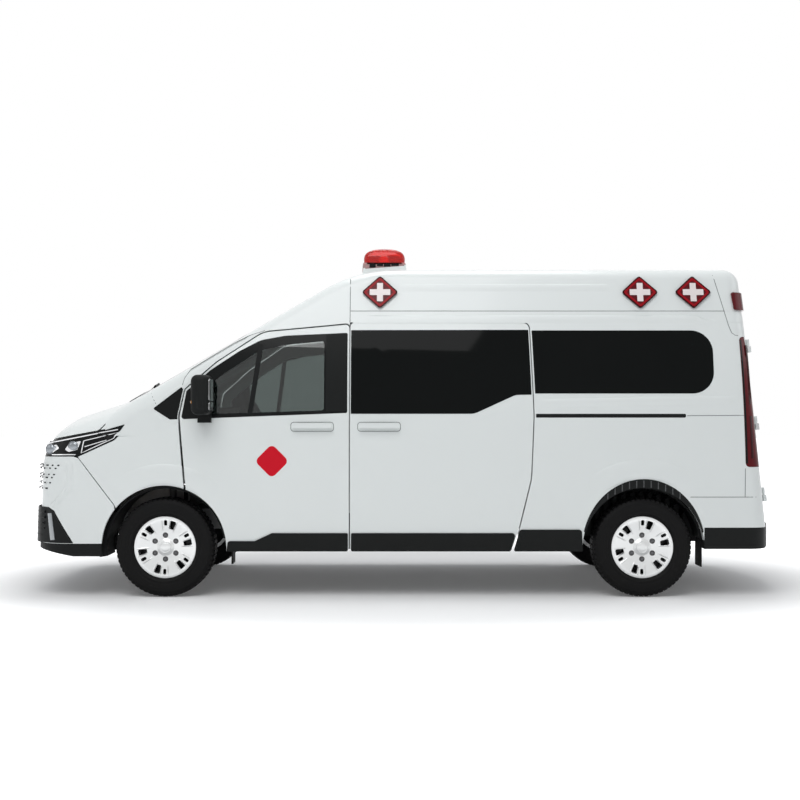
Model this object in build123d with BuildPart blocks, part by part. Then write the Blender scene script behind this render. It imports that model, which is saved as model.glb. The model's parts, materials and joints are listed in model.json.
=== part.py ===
"""High-roof ambulance van as an assembly of named sub-parts, in millimetres.

X points forward, Y to the vehicle's left, Z up.  The origin is on the ground under
the middle of the vehicle.
"""

import os
from math import cos, radians, sin, sqrt, tan

from build123d import *

os.makedirs("parts", exist_ok=True)

# Wheels and axles
WHEELBASE = 3300
FRONT_AXLE_X = 1645.5
REAR_AXLE_X = FRONT_AXLE_X - WHEELBASE
WHEEL_Y = 868
TYRE_R = 343
TYRE_W = 215
RIM_R = 213
AXLE_Z = TYRE_R
SPINDLE_R = 28
KINGPIN_R = 14
KINGPIN_INSET = 48
RUNNING_FIT = 0.05

# Cabin shape
ROOF_Z = 2335
ROOF_CROWN_R = 5200
SCREEN_SLOPE = 30.0
KNEE_X = 335
KNEE_R = 1050
SILL_Z = 325
SIDE_LOW_Y = 992
SIDE_MID_Y = 1012
SIDE_MID_Z = 800
BELT_Y = 1000
BELT_Z = 1240
CANT_Y = 868
CANT_Z = 1985
CABIN_EDGE_R = 112
REAR_X = -2673.6
REAR_RAKE = 6.0
REAR_CROWN_R = 4000
HALF_BOX = 1150
CABIN_FRONT_X = 2050
SIDE_FOOT = 125
SIDE_TOP = 500
BAND_DEPTH = 700
BLOCK_DEPTH = 350
BAND_RUN = 2300
TAIL_RUN = 400
RAKE_RISE = 2700

# Nose shape
BONNET_SLOPE = 18.8
BONNET_X = 1858
BONNET_Z = 1426
FACE_LEAN = 2.4
FACE_X = 2590
FACE_Z = 1000
NOSE_R = 390
NOSE_CROWN_R = 4000
NOSE_EDGE_R = 260
NOSE_BACK_X = 1450
VALANCE_Z = 285
NOSE_DEPTH = 385
NOSE_CORE = 300

# Spans that reach past the body, for cutting
ACROSS = (-HALF_BOX, HALF_BOX)
TAIL_X = REAR_X - TAIL_RUN
NOSE_X = FACE_X + TAIL_RUN
OVER_Z = ROOF_Z + TAIL_RUN

# Walls, glass and seams
WALL_T = 55
NOSE_T = 22
GLASS_SET = 2
GLASS_T = 6
SEAT = 0.3
DOOR_GAP = 8
HINGE_GAP = 10
SEAM = 0.5
REBATE = 18
PILLAR_T = 40
TRIM_T = 9
LAMP_T = 15

# Floor and frame
FLOOR_Z = 540
FLOOR_T = 40
RAIL_Y = 435
RAIL_W = 70
RAIL_H = 110
SILL_IN_Y = 845
SILL_OUT_Y = 925

# Wheel arches
FRONT_ARCH_R = 430
REAR_ARCH_R = 420
LINER_R = 405
LINER_T = 12

# Seams, trims and handles on the body side
SEAM_X = 369
RAIL_LOW_Z = 1904
BUMPER_SIDE_X = -2071
BUMPER_TOP_Z = 484
BUMPER_LOW_Z = 336
HIGH_LAMP_Y = 690
TAIL_LAMP_Y = 872
HANDLE_OUT = 40
HANDLE_T = 16
HANDLE_FOOT = 16
HANDLE_Z = (1172, 1196)
SLIDING_HANDLE_FEET = (52, 280)
DOOR_HANDLE_FEET = (512, 740)

# Door hinges
DOOR_HINGE_X = 1400
DOOR_HINGE_Y = 983
HINGE_PIN_R = 6
STRAP_H = 20
STRAP_CLEAR = 6
REAR_DOOR_Y = 800
REAR_HINGE_Y = 804
REAR_HINGE_OUT = 17
REAR_DOOR_LOW_Z = 520
REAR_DOOR_TOP_Z = 1972
BONNET_HINGE_X = 1940
BONNET_HINGE_Z = 1342
BONNET_HINGE_Y = 330
BONNET_PIN_R = 8
BONNET_EYE_R = 15
BONNET_ARM_T = 14
BONNET_ARM = [(1932, 1330), (1946, 1356), (2080, 1332), (2120, 1322), (2120, 1312), (2040, 1308)]
REAR_HINGE_Z = (700, 1200, 1740)
KNUCKLE_R = 11
KNUCKLE_L = 44
KNUCKLE_GAP = 5
LEAF_L = 60
LEAF_T = 6
DOOR_HINGE_Z = (860, 1130)
HINGE_PIN_L = 42
POCKET_BACK = 60
POCKET_FRONT = 60
MIRROR_X = 1362
MIRROR_Z = 1394
MIRROR_D = 130
MIRROR_H = 271
MIRROR_W = 195
MIRROR_IN_Y = 1050
MIRROR_EDGE = 45
MIRROR_ARM = 45
MIRROR_ARM_Z = (1205, 1330)

# Front end
LAMP_IN_Y = 520
VALANCE_TOP_Z = 372.5
TOW_Y = 345
TOW_Z = 485
TOW_CLEAR_R = 36
LOWER_GRILLE = [(-560, 395, 30), (560, 395, 30), (520, 600, 40), (-520, 600, 40)]
UPPER_GRILLE = [(-430, 810, 20), (430, 810, 20), (460, 925, 20), (-460, 925, 20)]
GRILLE_SET = 14
SLAT_H = 12
LOWER_SLATS_Z = (428, 470, 512, 554)
UPPER_SLATS_Z = (834, 867, 900)

# Roof lamps
LIGHT_BAR_Y = 440
CROSS_LAMP_X = (161, -1658, -2030)
CROSS_LAMP_Z = 2118
CROSS_LAMP_W = 130
CROSS_LAMP_H = 119
CROSS_LAMP_R = 22
BONNET_REAR_X = 2000

# Floor, firewall and pillars
FLOOR_BACK_X = -2465
FOOTWELL_X = 1180
FOOTWELL_Y = 555
FIREWALL_X = 1540
FIREWALL_T = 14
SHELF_Z = 1296
SHELF_X = 1976
COWL_L = 51
COWL_Y = 780
DASH_W = 785
DASH_Y = 825
SILL_LOW_Z = 345
PILLAR_SPANS = [(325, 411), (-940, -850)]
HINGE_POST_BACK = 75
HINGE_POST_FRONT = 20
HINGE_POST_IN_Y = 830
HINGE_POST_OUT_Y = 925
HINGE_POST_LOW_Z = 790
HINGE_POST_TOP_Z = 1240
HITCH_W = 90
HITCH_H = 130
HITCH_Y = 620
HITCH_DX = 50
HITCH_DY = 300
HITCH_HOLE_R = 6.5
HITCH_DEPTH = 60
TOW_FACE_X = 2590
TOW_L = 90
TOW_BOSS_R = 26
TOW_HOLE_R = 11

# Liners, suspension and axles
LINER_IN_Y = 745
FRONT_LINER_Y = 560
LINER_EDGE_Y = 930
LINER_LOW = 60
LUG_COUNT = 6
LUG_AT_R = 83
LUG_R = 19
LUG_SEAT = 58
LUG_TURN = 30
# Wheel cover windows: inner radius, outer radius, width, angle from the lugs
COVER_WINDOWS = [(129, 188, 42, 18), (150, 188, 22, 1)]
WINDOW_CORNER = 9
SPINDLE_L = 58
EYE_R = 32
EYE_H = 40
PLATE_T = 18
PLATE_W = 90
ARM_H = 50
ARM_CLEAR = 7
ARM_END_R = 24
CROSS_W = 90
CROSS_Y = 520
CROSS_LOW_Z = 285
STRUT_Y = 640
STRUT_R = 26
STRUT_DROP = 1
SPRING_R = 44
SPRING_UP = 120
SPRING_L = 180
TUBE_R = 45
TUBE_Y = 850
DIFF_R = 92
SPRING_Y = 560
SPRING_W = 65
LEAF_RUN = 640
LEAF_H = 32
TANK_X = (100, 900)
TANK_Y = (490, 835)
TANK_LOW_Z = 320
SPARE_X = -2062
SPARE_Y = 60
SPARE_R = 300
EXHAUST_X = (-2330, 1500)
EXHAUST_Y = -330
EXHAUST_Z = 470
PIPE_R = 30
MUFFLER_X = (-1100, -500)
ENGINE_X = (1720, 2380)
ENGINE_Y = 250
ENGINE_Z = (440, 1010)
BUMPER_BACK_X = -2683
BUMPER_CORNER_X = -2479
BUMPER_Y = 1004
BUMPER_T = 90
BUMPER_R = 150
BRACKET_Y = (380, 480)
FLAP_T = 10
# Mud flaps: x, low z, high z, inner y, outer y
MUD_FLAPS = [
    (FOOTWELL_X + FLAP_T + SEAT, 224, 520, 790, SILL_OUT_Y),
    (BUMPER_SIDE_X + FLAP_T + SEAT, 206, 395, 770, 935),
]

# Cab interior
DASH = [(1190, 1000), (1165, 1150), (1240, 1262), (1540, 1285), (1540, 980)]
WHEEL_AT = (1030, 420, 1172)
COLUMN_DIR = (0.88, 0, -0.36)
COLUMN_L = 300
HUB_R = 52
SPOKE_W = 34
HANDWHEEL_R = 190
GRIP_R = 15
SEAT_Y = 420
SEAT_W = 500
SEAT_SIDE = [
    (500, FLOOR_Z + FLOOR_T + SEAT, 10), (900, FLOOR_Z + FLOOR_T + SEAT, 10), (960, 960, 60), (590, 930, 30),
    (500, 1560, 40), (395, 1560, 40), (450, 900, 60),
]
PARTITION_X = (345, 375)
HATCH_Y = 330
HATCH_Z = (1250, 1650)

SIDES = [("left", 1), ("right", -1)]


def slab(plane, rows, grow=0, reach=HALF_BOX):
    """Rounded outline on a plane, taken both ways through the body.  Rows: u, v, corner radius."""
    points = [(u, v) for u, v, corner in rows]
    corners = [corner for u, v, corner in rows]
    with BuildPart() as prism:
        with BuildSketch(plane):
            with BuildLine():
                FilletPolyline(*points, radius=corners, close=True)
            make_face()
            if grow:
                offset(amount=grow)
        extrude(amount=reach, both=True)
    return prism.part


def block(x_span, y_span, z_span):
    """Plain box from its three spans."""
    spans = (x_span, y_span, z_span)
    with BuildPart() as box:
        with Locations(tuple(sum(span) / 2 for span in spans)):
            Box(*[abs(span[1] - span[0]) for span in spans])
    return box.part


def arm_slot(y):
    """Room for a bonnet hinge arm to swing up through the scuttle."""
    side = BONNET_ARM_T / 2 + STRAP_CLEAR
    return block((BONNET_HINGE_X - COWL_L, BONNET_REAR_X), (y - side, y + side), (SHELF_Z, ROOF_Z))


def drum(centre, axis, radius, length):
    """Cylinder that starts at its centre point and runs along its axis."""
    with BuildPart() as barrel:
        with BuildSketch(Plane(origin=centre, z_dir=axis)):
            Circle(radius)
        extrude(amount=length)
    return barrel.part


def crowned_band(start, knee, end, knee_r, crown_r, depth):
    """Band swept along a two-leg path in XZ, its outer face crowned across Y."""
    with BuildPart() as band:
        with BuildLine(Plane.XZ) as route:
            FilletPolyline(start, knee, end, radius=knee_r)
        path = route.wires()[0]
        with BuildSketch(Plane(origin=path @ 0, z_dir=path % 0, x_dir=(0, 1, 0))):
            drop = crown_r - sqrt(crown_r**2 - HALF_BOX**2)
            with BuildLine():
                ThreePointArc((-HALF_BOX, drop), (0, 0), (HALF_BOX, drop))
                Polyline((HALF_BOX, drop), (HALF_BOX, depth), (-HALF_BOX, depth), (-HALF_BOX, drop))
            make_face()
        sweep(path=path)
    return band.part


def side_prism(inset, back_x, front_x):
    """Solid between the two body sides, with their tumblehome."""
    low_z = SILL_Z - SIDE_FOOT
    with BuildPart() as prism:
        with BuildSketch(Plane.YZ.offset(back_x)):
            with BuildLine():
                low = ThreePointArc(
                    (SIDE_LOW_Y - inset, low_z), (SIDE_MID_Y - inset, SIDE_MID_Z), (BELT_Y - inset, BELT_Z)
                )
                high = TangentArc(low @ 1, (CANT_Y - inset, CANT_Z), tangent=low % 1)
                top = high @ 1 + (high % 1) * SIDE_TOP
                Line(high @ 1, top)
                Polyline(top, (0, top.Y), (0, low_z), low @ 0)
            make_face()
            mirror(about=Plane.YZ)
        extrude(amount=front_x - back_x)
    return prism.part


def cabin_solid(inset):
    """Closed solid of the cabin, its outer face moved in by the inset."""
    slope = radians(SCREEN_SLOPE)
    rake = radians(REAR_RAKE)
    roof = ROOF_Z - inset
    knee_x = KNEE_X - inset * tan(slope / 2)
    start = (knee_x + BAND_RUN * cos(slope), roof - BAND_RUN * sin(slope))
    block_x = knee_x - BLOCK_DEPTH * tan(slope / 2)
    block_z = roof - BLOCK_DEPTH
    foot_z = SILL_Z - SIDE_FOOT
    foot_x = block_x + (block_z - foot_z) / tan(slope)
    rear_x = REAR_X + inset / cos(rake)
    bow = REAR_CROWN_R - sqrt(REAR_CROWN_R**2 - HALF_BOX**2)
    with BuildPart() as cabin:
        knee, end = (knee_x, roof), (TAIL_X, roof)
        add(crowned_band(start, knee, end, KNEE_R - inset, ROOF_CROWN_R - inset, BAND_DEPTH))
        with BuildSketch(Plane.XZ):
            with BuildLine():
                Polyline(
                    (TAIL_X, foot_z), (TAIL_X, block_z), (block_x, block_z), (foot_x, foot_z), close=True,
                )
            make_face()
        extrude(amount=HALF_BOX, both=True)
        add(side_prism(inset, TAIL_X, CABIN_FRONT_X), mode=Mode.INTERSECT)
        with BuildSketch(Plane.XY):
            with BuildLine():
                ThreePointArc((rear_x + bow, -HALF_BOX), (rear_x, 0), (rear_x + bow, HALF_BOX))
                Polyline(
                    (rear_x + bow, HALF_BOX), (CABIN_FRONT_X, HALF_BOX),
                    (CABIN_FRONT_X, -HALF_BOX), (rear_x + bow, -HALF_BOX),
                )
            make_face()
        extrude(amount=RAKE_RISE / cos(rake), dir=(sin(rake), 0, cos(rake)), mode=Mode.INTERSECT)
        rim = []
        for edge in cabin.edges():
            first, last = edge @ 0, edge @ 1
            at_tail = max(first.X, last.X) < REAR_X + TAIL_RUN
            low = max(first.Z, last.Z) < SILL_Z
            across = abs(first.X - last.X) < 1
            straight = edge.geom_type == GeomType.LINE
            if at_tail and not low:
                rim.append(edge)
            elif not at_tail and not low and not across and not straight:
                rim.append(edge)
        fillet(rim, radius=CABIN_EDGE_R - inset)
    return cabin.part


def nose_knee(inset):
    """Corner in XZ where the bonnet line meets the front face line."""
    slope, lean = radians(BONNET_SLOPE), radians(FACE_LEAN)
    base_x = BONNET_X - inset * sin(slope)
    base_z = BONNET_Z - inset * cos(slope)
    face_x = FACE_X - inset / cos(lean)
    knee_x = (base_z + base_x * tan(slope) - FACE_Z + face_x / tan(lean)) / (tan(slope) + 1 / tan(lean))
    return knee_x, base_z - (knee_x - base_x) * tan(slope)


def nose_solid(inset):
    """Closed solid of the nose under bonnet and bumper, moved in by the inset."""
    slope, lean = radians(BONNET_SLOPE), radians(FACE_LEAN)
    knee_x, knee_z = nose_knee(inset)
    core_x, core_z = nose_knee(inset + NOSE_CORE)
    low_z = VALANCE_Z - SIDE_FOOT
    start = (knee_x + (knee_z - low_z) * tan(lean), low_z)
    end = (NOSE_BACK_X - TAIL_RUN, knee_z + (knee_x - NOSE_BACK_X + TAIL_RUN) * tan(slope))
    core_back_z = core_z + (core_x - NOSE_BACK_X) * tan(slope)
    core_low_x = core_x + (core_z - low_z) * tan(lean)
    with BuildPart() as nose:
        add(crowned_band(start, (knee_x, knee_z), end, NOSE_R - inset, NOSE_CROWN_R - inset, NOSE_DEPTH))
        with BuildSketch(Plane.XZ):
            with BuildLine():
                Polyline(
                    (NOSE_BACK_X, low_z), (NOSE_BACK_X, core_back_z), (core_x, core_z), (core_low_x, low_z),
                    close=True,
                )
            make_face()
        extrude(amount=HALF_BOX, both=True)
        add(side_prism(inset, NOSE_BACK_X, NOSE_X), mode=Mode.INTERSECT)
        rim = []
        for edge in nose.edges():
            first, last = edge @ 0, edge @ 1
            across = abs(first.Y - last.Y) > BELT_Y
            low = max(first.Z, last.Z) < low_z + SIDE_FOOT
            back = max(first.X, last.X) < NOSE_BACK_X + SIDE_FOOT
            straight = edge.geom_type == GeomType.LINE
            if not (across or low or back or straight):
                rim.append(edge)
        fillet(rim, radius=NOSE_EDGE_R - inset)
    return nose.part


# Body solids by their depth under the outer face, negative outside it
GLASS_IN = GLASS_SET + GLASS_T
BED = GLASS_IN + SEAT
PILLAR_IN = WALL_T + PILLAR_T
HANDLE_IN = -HANDLE_OUT + HANDLE_T
CABIN_DEPTHS = (
    -HANDLE_OUT, HANDLE_IN, -LAMP_T, -TRIM_T, -SEAT, 0, GLASS_SET, GLASS_IN, BED,
    WALL_T, WALL_T + SEAT, PILLAR_IN, PILLAR_IN + SEAT,
)
NOSE_DEPTHS = (-SEAM, 0, GRILLE_SET, NOSE_T, NOSE_T + SEAT)
cabin = {depth: cabin_solid(depth) for depth in CABIN_DEPTHS}
nose = {depth: nose_solid(depth) for depth in NOSE_DEPTHS}

wall = cabin[0] - cabin[WALL_T]
bed_layer = cabin[0] - cabin[BED]
glass_layer = cabin[GLASS_SET] - cabin[GLASS_IN]
pillar_layer = cabin[WALL_T + SEAT] - cabin[PILLAR_IN]
trim_layer = cabin[-TRIM_T] - cabin[-SEAT]
lamp_layer = cabin[-LAMP_T] - cabin[-SEAT]
grip_layer = cabin[-HANDLE_OUT] - cabin[HANDLE_IN]
grip_foot_layer = cabin[-HANDLE_OUT] - cabin[GLASS_SET]
nose_wall = nose[0] - nose[NOSE_T]

# Outlines seen from the side: x, z, corner radius
SIDE = Plane.XZ
FRONT_DOOR = [
    (373, SILL_Z, 20), (1494, SILL_Z, 0), (1494, 760, 40), (1538, 1250, 120),
    (1500, 1432, 40), (1285, 1622, 250), (970, 1832, 200), (373, 1888, 25),
]
SLIDING_DOOR = [
    (365, SILL_Z, 20), (365, 1898, 25), (-874, 1898, 40), (-898, 1250, 500),
    (-879, 820, 400), (-791, 460, 200), (-745, SILL_Z, 60),
]
FRONT_PANE = [
    (400, 1272, 30), (1462, 1238, 30), (1458, 1388, 40), (1265, 1552, 220), (960, 1752, 220), (400, 1808, 30),
]
SLIDING_PANE = [
    (335, 1272, 30), (335, 1840, 30), (-845, 1843, 30), (-850, 1403, 40),
    (-760, 1400, 120), (-480, 1272, 120),
]
QUARTER_PANE = [(-925, 1415, 40), (-925, 1836, 40), (-2139, 1836, 140), (-2139, 1415, 140)]
HEADLAMP = [
    (2700, 1042, 0), (2557, 1070, 10), (2105, 1153, 10), (1895, 1185, 12), (1985, 1085, 40), (2230, 973, 30),
    (2496, 970, 30), (2700, 1000, 0),
]
BONNET = [
    (2900, 1000, 0), (2560, 1070, 20), (2105, 1153, 40), (2056, 1209, 40), (BONNET_REAR_X, 1290, 0),
    (BONNET_REAR_X, 1800, 0), (2900, 1800, 0),
]
FENDER = [
    (1502, 660, 0), (1552, 1262, 0), (1552, 1700, 0), (2232, 1700, 0), (2232, 967, 0),
    (1985, 642, 0), (1950, 560, 0),
]
BUMPER = [(2234, 961, 0), (1989, 638, 0), (1950, 373, 0), (2900, 373, 0), (2900, 1000, 0), (2560, 1066, 0)]
DOOR_CLADDING = [
    (380, 320, 10), (380, 446, 10), (902, 446, 20), (1020, 391, 20), (1205, 391, 20), (1215, 320, 10),
]
SLIDING_CLADDING = [(358, 320, 10), (358, 446, 10), (-775, 446, 20), (-742, 320, 20)]
QUARTER_CLADDING = [(-760, 320, 10), (-802, 470, 20), (-1228, 470, 20), (-1236, 320, 10)]
SLIDING_HANDLE = [(28, 1168, 10), (303, 1168, 10), (303, 1200, 10), (28, 1200, 10)]
DOOR_HANDLE = [(489, 1168, 10), (764, 1168, 10), (764, 1200, 10), (489, 1200, 10)]
RAIL_SLOT = [(-915, 1240, 6), (-915, 1266, 6), (-1947, 1266, 10), (-1947, 1240, 10)]
# Rear lamp outline in XZ and rear door outlines in YZ: y, z, corner radius
TAIL_LAMP = [(-2333, 1803, 30), (-2354, 900, 30), (-2800, 900, 0), (-2800, 1803, 0)]
HIGH_LAMP = [(-2310, 1992, 15), (-2295, 2118, 15), (-2800, 2118, 0), (-2800, 1992, 0)]
REAR_PLANE = Plane.YZ.offset(REAR_X)
FRONT_PLANE = Plane.YZ.offset(FACE_X)
REAR_REACH = 420
MEETING_Y = 3
REAR_DOOR = [
    (MEETING_Y, REAR_DOOR_LOW_Z, 8), (REAR_DOOR_Y, REAR_DOOR_LOW_Z, 30),
    (REAR_DOOR_Y, REAR_DOOR_TOP_Z, 60), (MEETING_Y, REAR_DOOR_TOP_Z, 8),
]
REAR_OPENING = [
    (-REAR_DOOR_Y, 0, 0), (REAR_DOOR_Y, 0, 0),
    (REAR_DOOR_Y, CANT_Z + DOOR_GAP, 0), (-REAR_DOOR_Y, CANT_Z + DOOR_GAP, 0),
]
REAR_PANE = [(110, 1330, 50), (700, 1330, 50), (680, 1830, 50), (110, 1830, 50)]
# Windscreen outline on the sloped screen plane: y, run up the slope, corner radius
SCREEN_MID_X = 1480
SCREEN_MID_Z = ROOF_Z - (SCREEN_MID_X - KNEE_X) * tan(radians(SCREEN_SLOPE))
SCREEN_PLANE = Plane(
    origin=(SCREEN_MID_X, 0, SCREEN_MID_Z), x_dir=(0, 1, 0),
    z_dir=(sin(radians(SCREEN_SLOPE)), 0, cos(radians(SCREEN_SLOPE))),
)
SCREEN = [(-860, -435, 60), (860, -435, 60), (790, 405, 90), (-790, 405, 90)]
SCREEN_REACH = 260

rear_arch = drum((REAR_AXLE_X, HALF_BOX, AXLE_Z), (0, -1, 0), REAR_ARCH_R, 2 * HALF_BOX)
front_arch = drum((FRONT_AXLE_X, HALF_BOX, AXLE_Z), (0, -1, 0), FRONT_ARCH_R, 2 * HALF_BOX)
door_opening = slab(SIDE, FRONT_DOOR, grow=HINGE_GAP)
sliding_opening = slab(SIDE, SLIDING_DOOR, grow=DOOR_GAP)
rear_opening = slab(REAR_PLANE, REAR_OPENING, grow=DOOR_GAP, reach=REAR_REACH)
left_half = block((-3000, 3000), (0, HALF_BOX), (0, 3000))

pieces = {}

# Window glass, its bed in the panel and the hole through the panel behind it
side_panes = {"front": FRONT_PANE, "sliding": SLIDING_PANE, "quarter": QUARTER_PANE}
glass, beds, holes = {}, {}, {}
for name, rows in side_panes.items():
    glass[name] = glass_layer & slab(SIDE, rows)
    beds[name] = bed_layer & slab(SIDE, rows, grow=SEAM)
    holes[name] = slab(SIDE, rows, grow=-REBATE)
glass["rear"] = glass_layer & slab(REAR_PLANE, REAR_PANE, reach=REAR_REACH)
beds["rear"] = bed_layer & slab(REAR_PLANE, REAR_PANE, grow=SEAM, reach=REAR_REACH)
holes["rear"] = slab(REAR_PLANE, REAR_PANE, grow=-REBATE, reach=REAR_REACH)
glass["screen"] = glass_layer & slab(SCREEN_PLANE, SCREEN, reach=SCREEN_REACH)
beds["screen"] = bed_layer & slab(SCREEN_PLANE, SCREEN, grow=SEAM, reach=SCREEN_REACH)
holes["screen"] = slab(SCREEN_PLANE, SCREEN, grow=-REBATE, reach=SCREEN_REACH)

# Roof, rails and side panels
with BuildPart() as roof_panel:
    add(wall)
    add(block((TAIL_X, SEAM_X - SEAM), ACROSS, (CANT_Z, OVER_Z)), mode=Mode.INTERSECT)
pieces["roof_panel"] = roof_panel.part

with BuildPart() as cant_rails:
    add(wall)
    add(block((TAIL_X, SEAM_X - SEAM), ACROSS, (RAIL_LOW_Z, CANT_Z - SEAM)), mode=Mode.INTERSECT)
    add(rear_opening, mode=Mode.SUBTRACT)
pieces["cant_rails"] = cant_rails.part

# Hinge line of the rear doors
RAKE_DIR = Vector(sin(radians(REAR_RAKE)), 0, cos(radians(REAR_RAKE)))
hinge_bow = REAR_CROWN_R - sqrt(REAR_CROWN_R**2 - REAR_HINGE_Y**2)
hinge_foot = Vector(REAR_X + hinge_bow - REAR_HINGE_OUT, REAR_HINGE_Y, 0)
tail_lamp = slab(SIDE, TAIL_LAMP) - block((TAIL_X, 0), (-TAIL_LAMP_Y, TAIL_LAMP_Y), (0, ROOF_Z))
bumper_zone = block((TAIL_X, BUMPER_SIDE_X), ACROSS, (0, BUMPER_TOP_Z))
with BuildPart() as quarter_panels:
    add(wall)
    quarter_zone = block((TAIL_X, SLIDING_DOOR[5][0]), ACROSS, (SILL_Z, RAIL_LOW_Z - SEAM))
    add(quarter_zone, mode=Mode.INTERSECT)
    add(sliding_opening, mode=Mode.SUBTRACT)
    add(rear_opening, mode=Mode.SUBTRACT)
    add(rear_arch, mode=Mode.SUBTRACT)
    add(bumper_zone, mode=Mode.SUBTRACT)
    add(tail_lamp, mode=Mode.SUBTRACT)
    add(beds["quarter"], mode=Mode.SUBTRACT)
    add(holes["quarter"], mode=Mode.SUBTRACT)
    add(bed_layer & slab(SIDE, RAIL_SLOT, grow=SEAM), mode=Mode.SUBTRACT)
    for name, sign in SIDES:
        for z in REAR_HINGE_Z:
            low = hinge_foot + RAKE_DIR * (z / cos(radians(REAR_RAKE)))
            low = Vector(low.X, sign * low.Y, low.Z)
            add(drum(low - RAKE_DIR * KNUCKLE_L, RAKE_DIR, KNUCKLE_R, KNUCKLE_L))
            add(drum(low - RAKE_DIR * KNUCKLE_L, RAKE_DIR, HINGE_PIN_R, 2 * KNUCKLE_L))
            with BuildSketch(Plane(origin=low - RAKE_DIR * KNUCKLE_L, x_dir=(0, 1, 0), z_dir=RAKE_DIR)):
                with Locations((sign * LEAF_L / 2, -REAR_HINGE_OUT / 2)):
                    Rectangle(LEAF_L, REAR_HINGE_OUT + LEAF_T)
            extrude(amount=KNUCKLE_L)
pieces["quarter_panels"] = quarter_panels.part

with BuildPart() as tail_lamps:
    add(cabin[-SEAT] - cabin[WALL_T])
    add(slab(SIDE, TAIL_LAMP, grow=-SEAM), mode=Mode.INTERSECT)
    between = block((TAIL_X, 0), (-TAIL_LAMP_Y - SEAM, TAIL_LAMP_Y + SEAM), (0, ROOF_Z))
    add(between, mode=Mode.SUBTRACT)
with BuildPart() as high_lamps:
    add(lamp_layer)
    add(slab(SIDE, HIGH_LAMP), mode=Mode.INTERSECT)
    add(block((TAIL_X, 0), (-HIGH_LAMP_Y, HIGH_LAMP_Y), (0, ROOF_Z)), mode=Mode.SUBTRACT)
pieces["tail_lamps"] = Part() + tail_lamps.solids() + high_lamps.solids()

# Sliding doors, shut
with BuildPart() as sliding_doors:
    add(wall)
    add(slab(SIDE, SLIDING_DOOR), mode=Mode.INTERSECT)
    add(beds["sliding"], mode=Mode.SUBTRACT)
    add(holes["sliding"], mode=Mode.SUBTRACT)
    add(grip_layer & slab(SIDE, SLIDING_HANDLE))
    for x in SLIDING_HANDLE_FEET:
        add(grip_foot_layer & block((x - HANDLE_FOOT, x + HANDLE_FOOT), ACROSS, HANDLE_Z))
pieces["sliding_doors"] = sliding_doors.part
pieces["side_windows"] = Part() + glass["quarter"].solids() + glass["sliding"].solids()

side_trims = trim_layer & (slab(SIDE, SLIDING_CLADDING) + slab(SIDE, QUARTER_CLADDING))
side_rails = glass_layer & slab(SIDE, RAIL_SLOT)
pieces["side_trims"] = Part() + side_trims.solids() + side_rails.solids()

# Windscreen frame with the front of the roof
bonnet_cut = slab(SIDE, BONNET, grow=DOOR_GAP)
with BuildPart() as windscreen_frame:
    add(wall)
    screen_zone = block((SEAM_X, CABIN_FRONT_X), ACROSS, (BELT_Z - SIDE_FOOT, OVER_Z))
    add(screen_zone, mode=Mode.INTERSECT)
    add(door_opening, mode=Mode.SUBTRACT)
    add(nose[-SEAM], mode=Mode.SUBTRACT)
    add(bonnet_cut, mode=Mode.SUBTRACT)
    add(beds["screen"], mode=Mode.SUBTRACT)
    add(holes["screen"], mode=Mode.SUBTRACT)
    scuttle = block((BONNET_HINGE_X - SIDE_FOOT / 4, CABIN_FRONT_X), ACROSS, (0, ROOF_Z))
    for y in (-BONNET_HINGE_Y, BONNET_HINGE_Y):
        add(arm_slot(y) & scuttle, mode=Mode.SUBTRACT)
pieces["windscreen_frame"] = windscreen_frame.part
pieces["windscreen"] = glass["screen"]

# Rear doors with their outside hinges
with BuildPart() as rear_door_left:
    add(wall)
    add(slab(REAR_PLANE, REAR_DOOR, reach=REAR_REACH), mode=Mode.INTERSECT)
    add(beds["rear"], mode=Mode.SUBTRACT)
    add(holes["rear"], mode=Mode.SUBTRACT)
    for z in REAR_HINGE_Z:
        low = hinge_foot + RAKE_DIR * (z / cos(radians(REAR_RAKE)))
        add(drum(low + RAKE_DIR * KNUCKLE_GAP, RAKE_DIR, KNUCKLE_R, KNUCKLE_L))
        with BuildSketch(Plane(origin=low + RAKE_DIR * KNUCKLE_GAP, x_dir=(0, 1, 0), z_dir=RAKE_DIR)):
            with Locations((-LEAF_L / 2, -REAR_HINGE_OUT / 2)):
                Rectangle(LEAF_L, REAR_HINGE_OUT + LEAF_T)
        extrude(amount=KNUCKLE_L)
        bore = drum(low - RAKE_DIR * KNUCKLE_L, RAKE_DIR, HINGE_PIN_R + RUNNING_FIT, 3 * KNUCKLE_L)
        add(bore, mode=Mode.SUBTRACT)
pieces["rear_door_left"] = rear_door_left.part
pieces["rear_door_right"] = mirror(rear_door_left.part, about=Plane.XZ)
pieces["rear_window_left"] = Part() + [x for x in glass["rear"].solids() if x.center().Y > 0]
pieces["rear_window_right"] = mirror(pieces["rear_window_left"], about=Plane.XZ)

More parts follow.
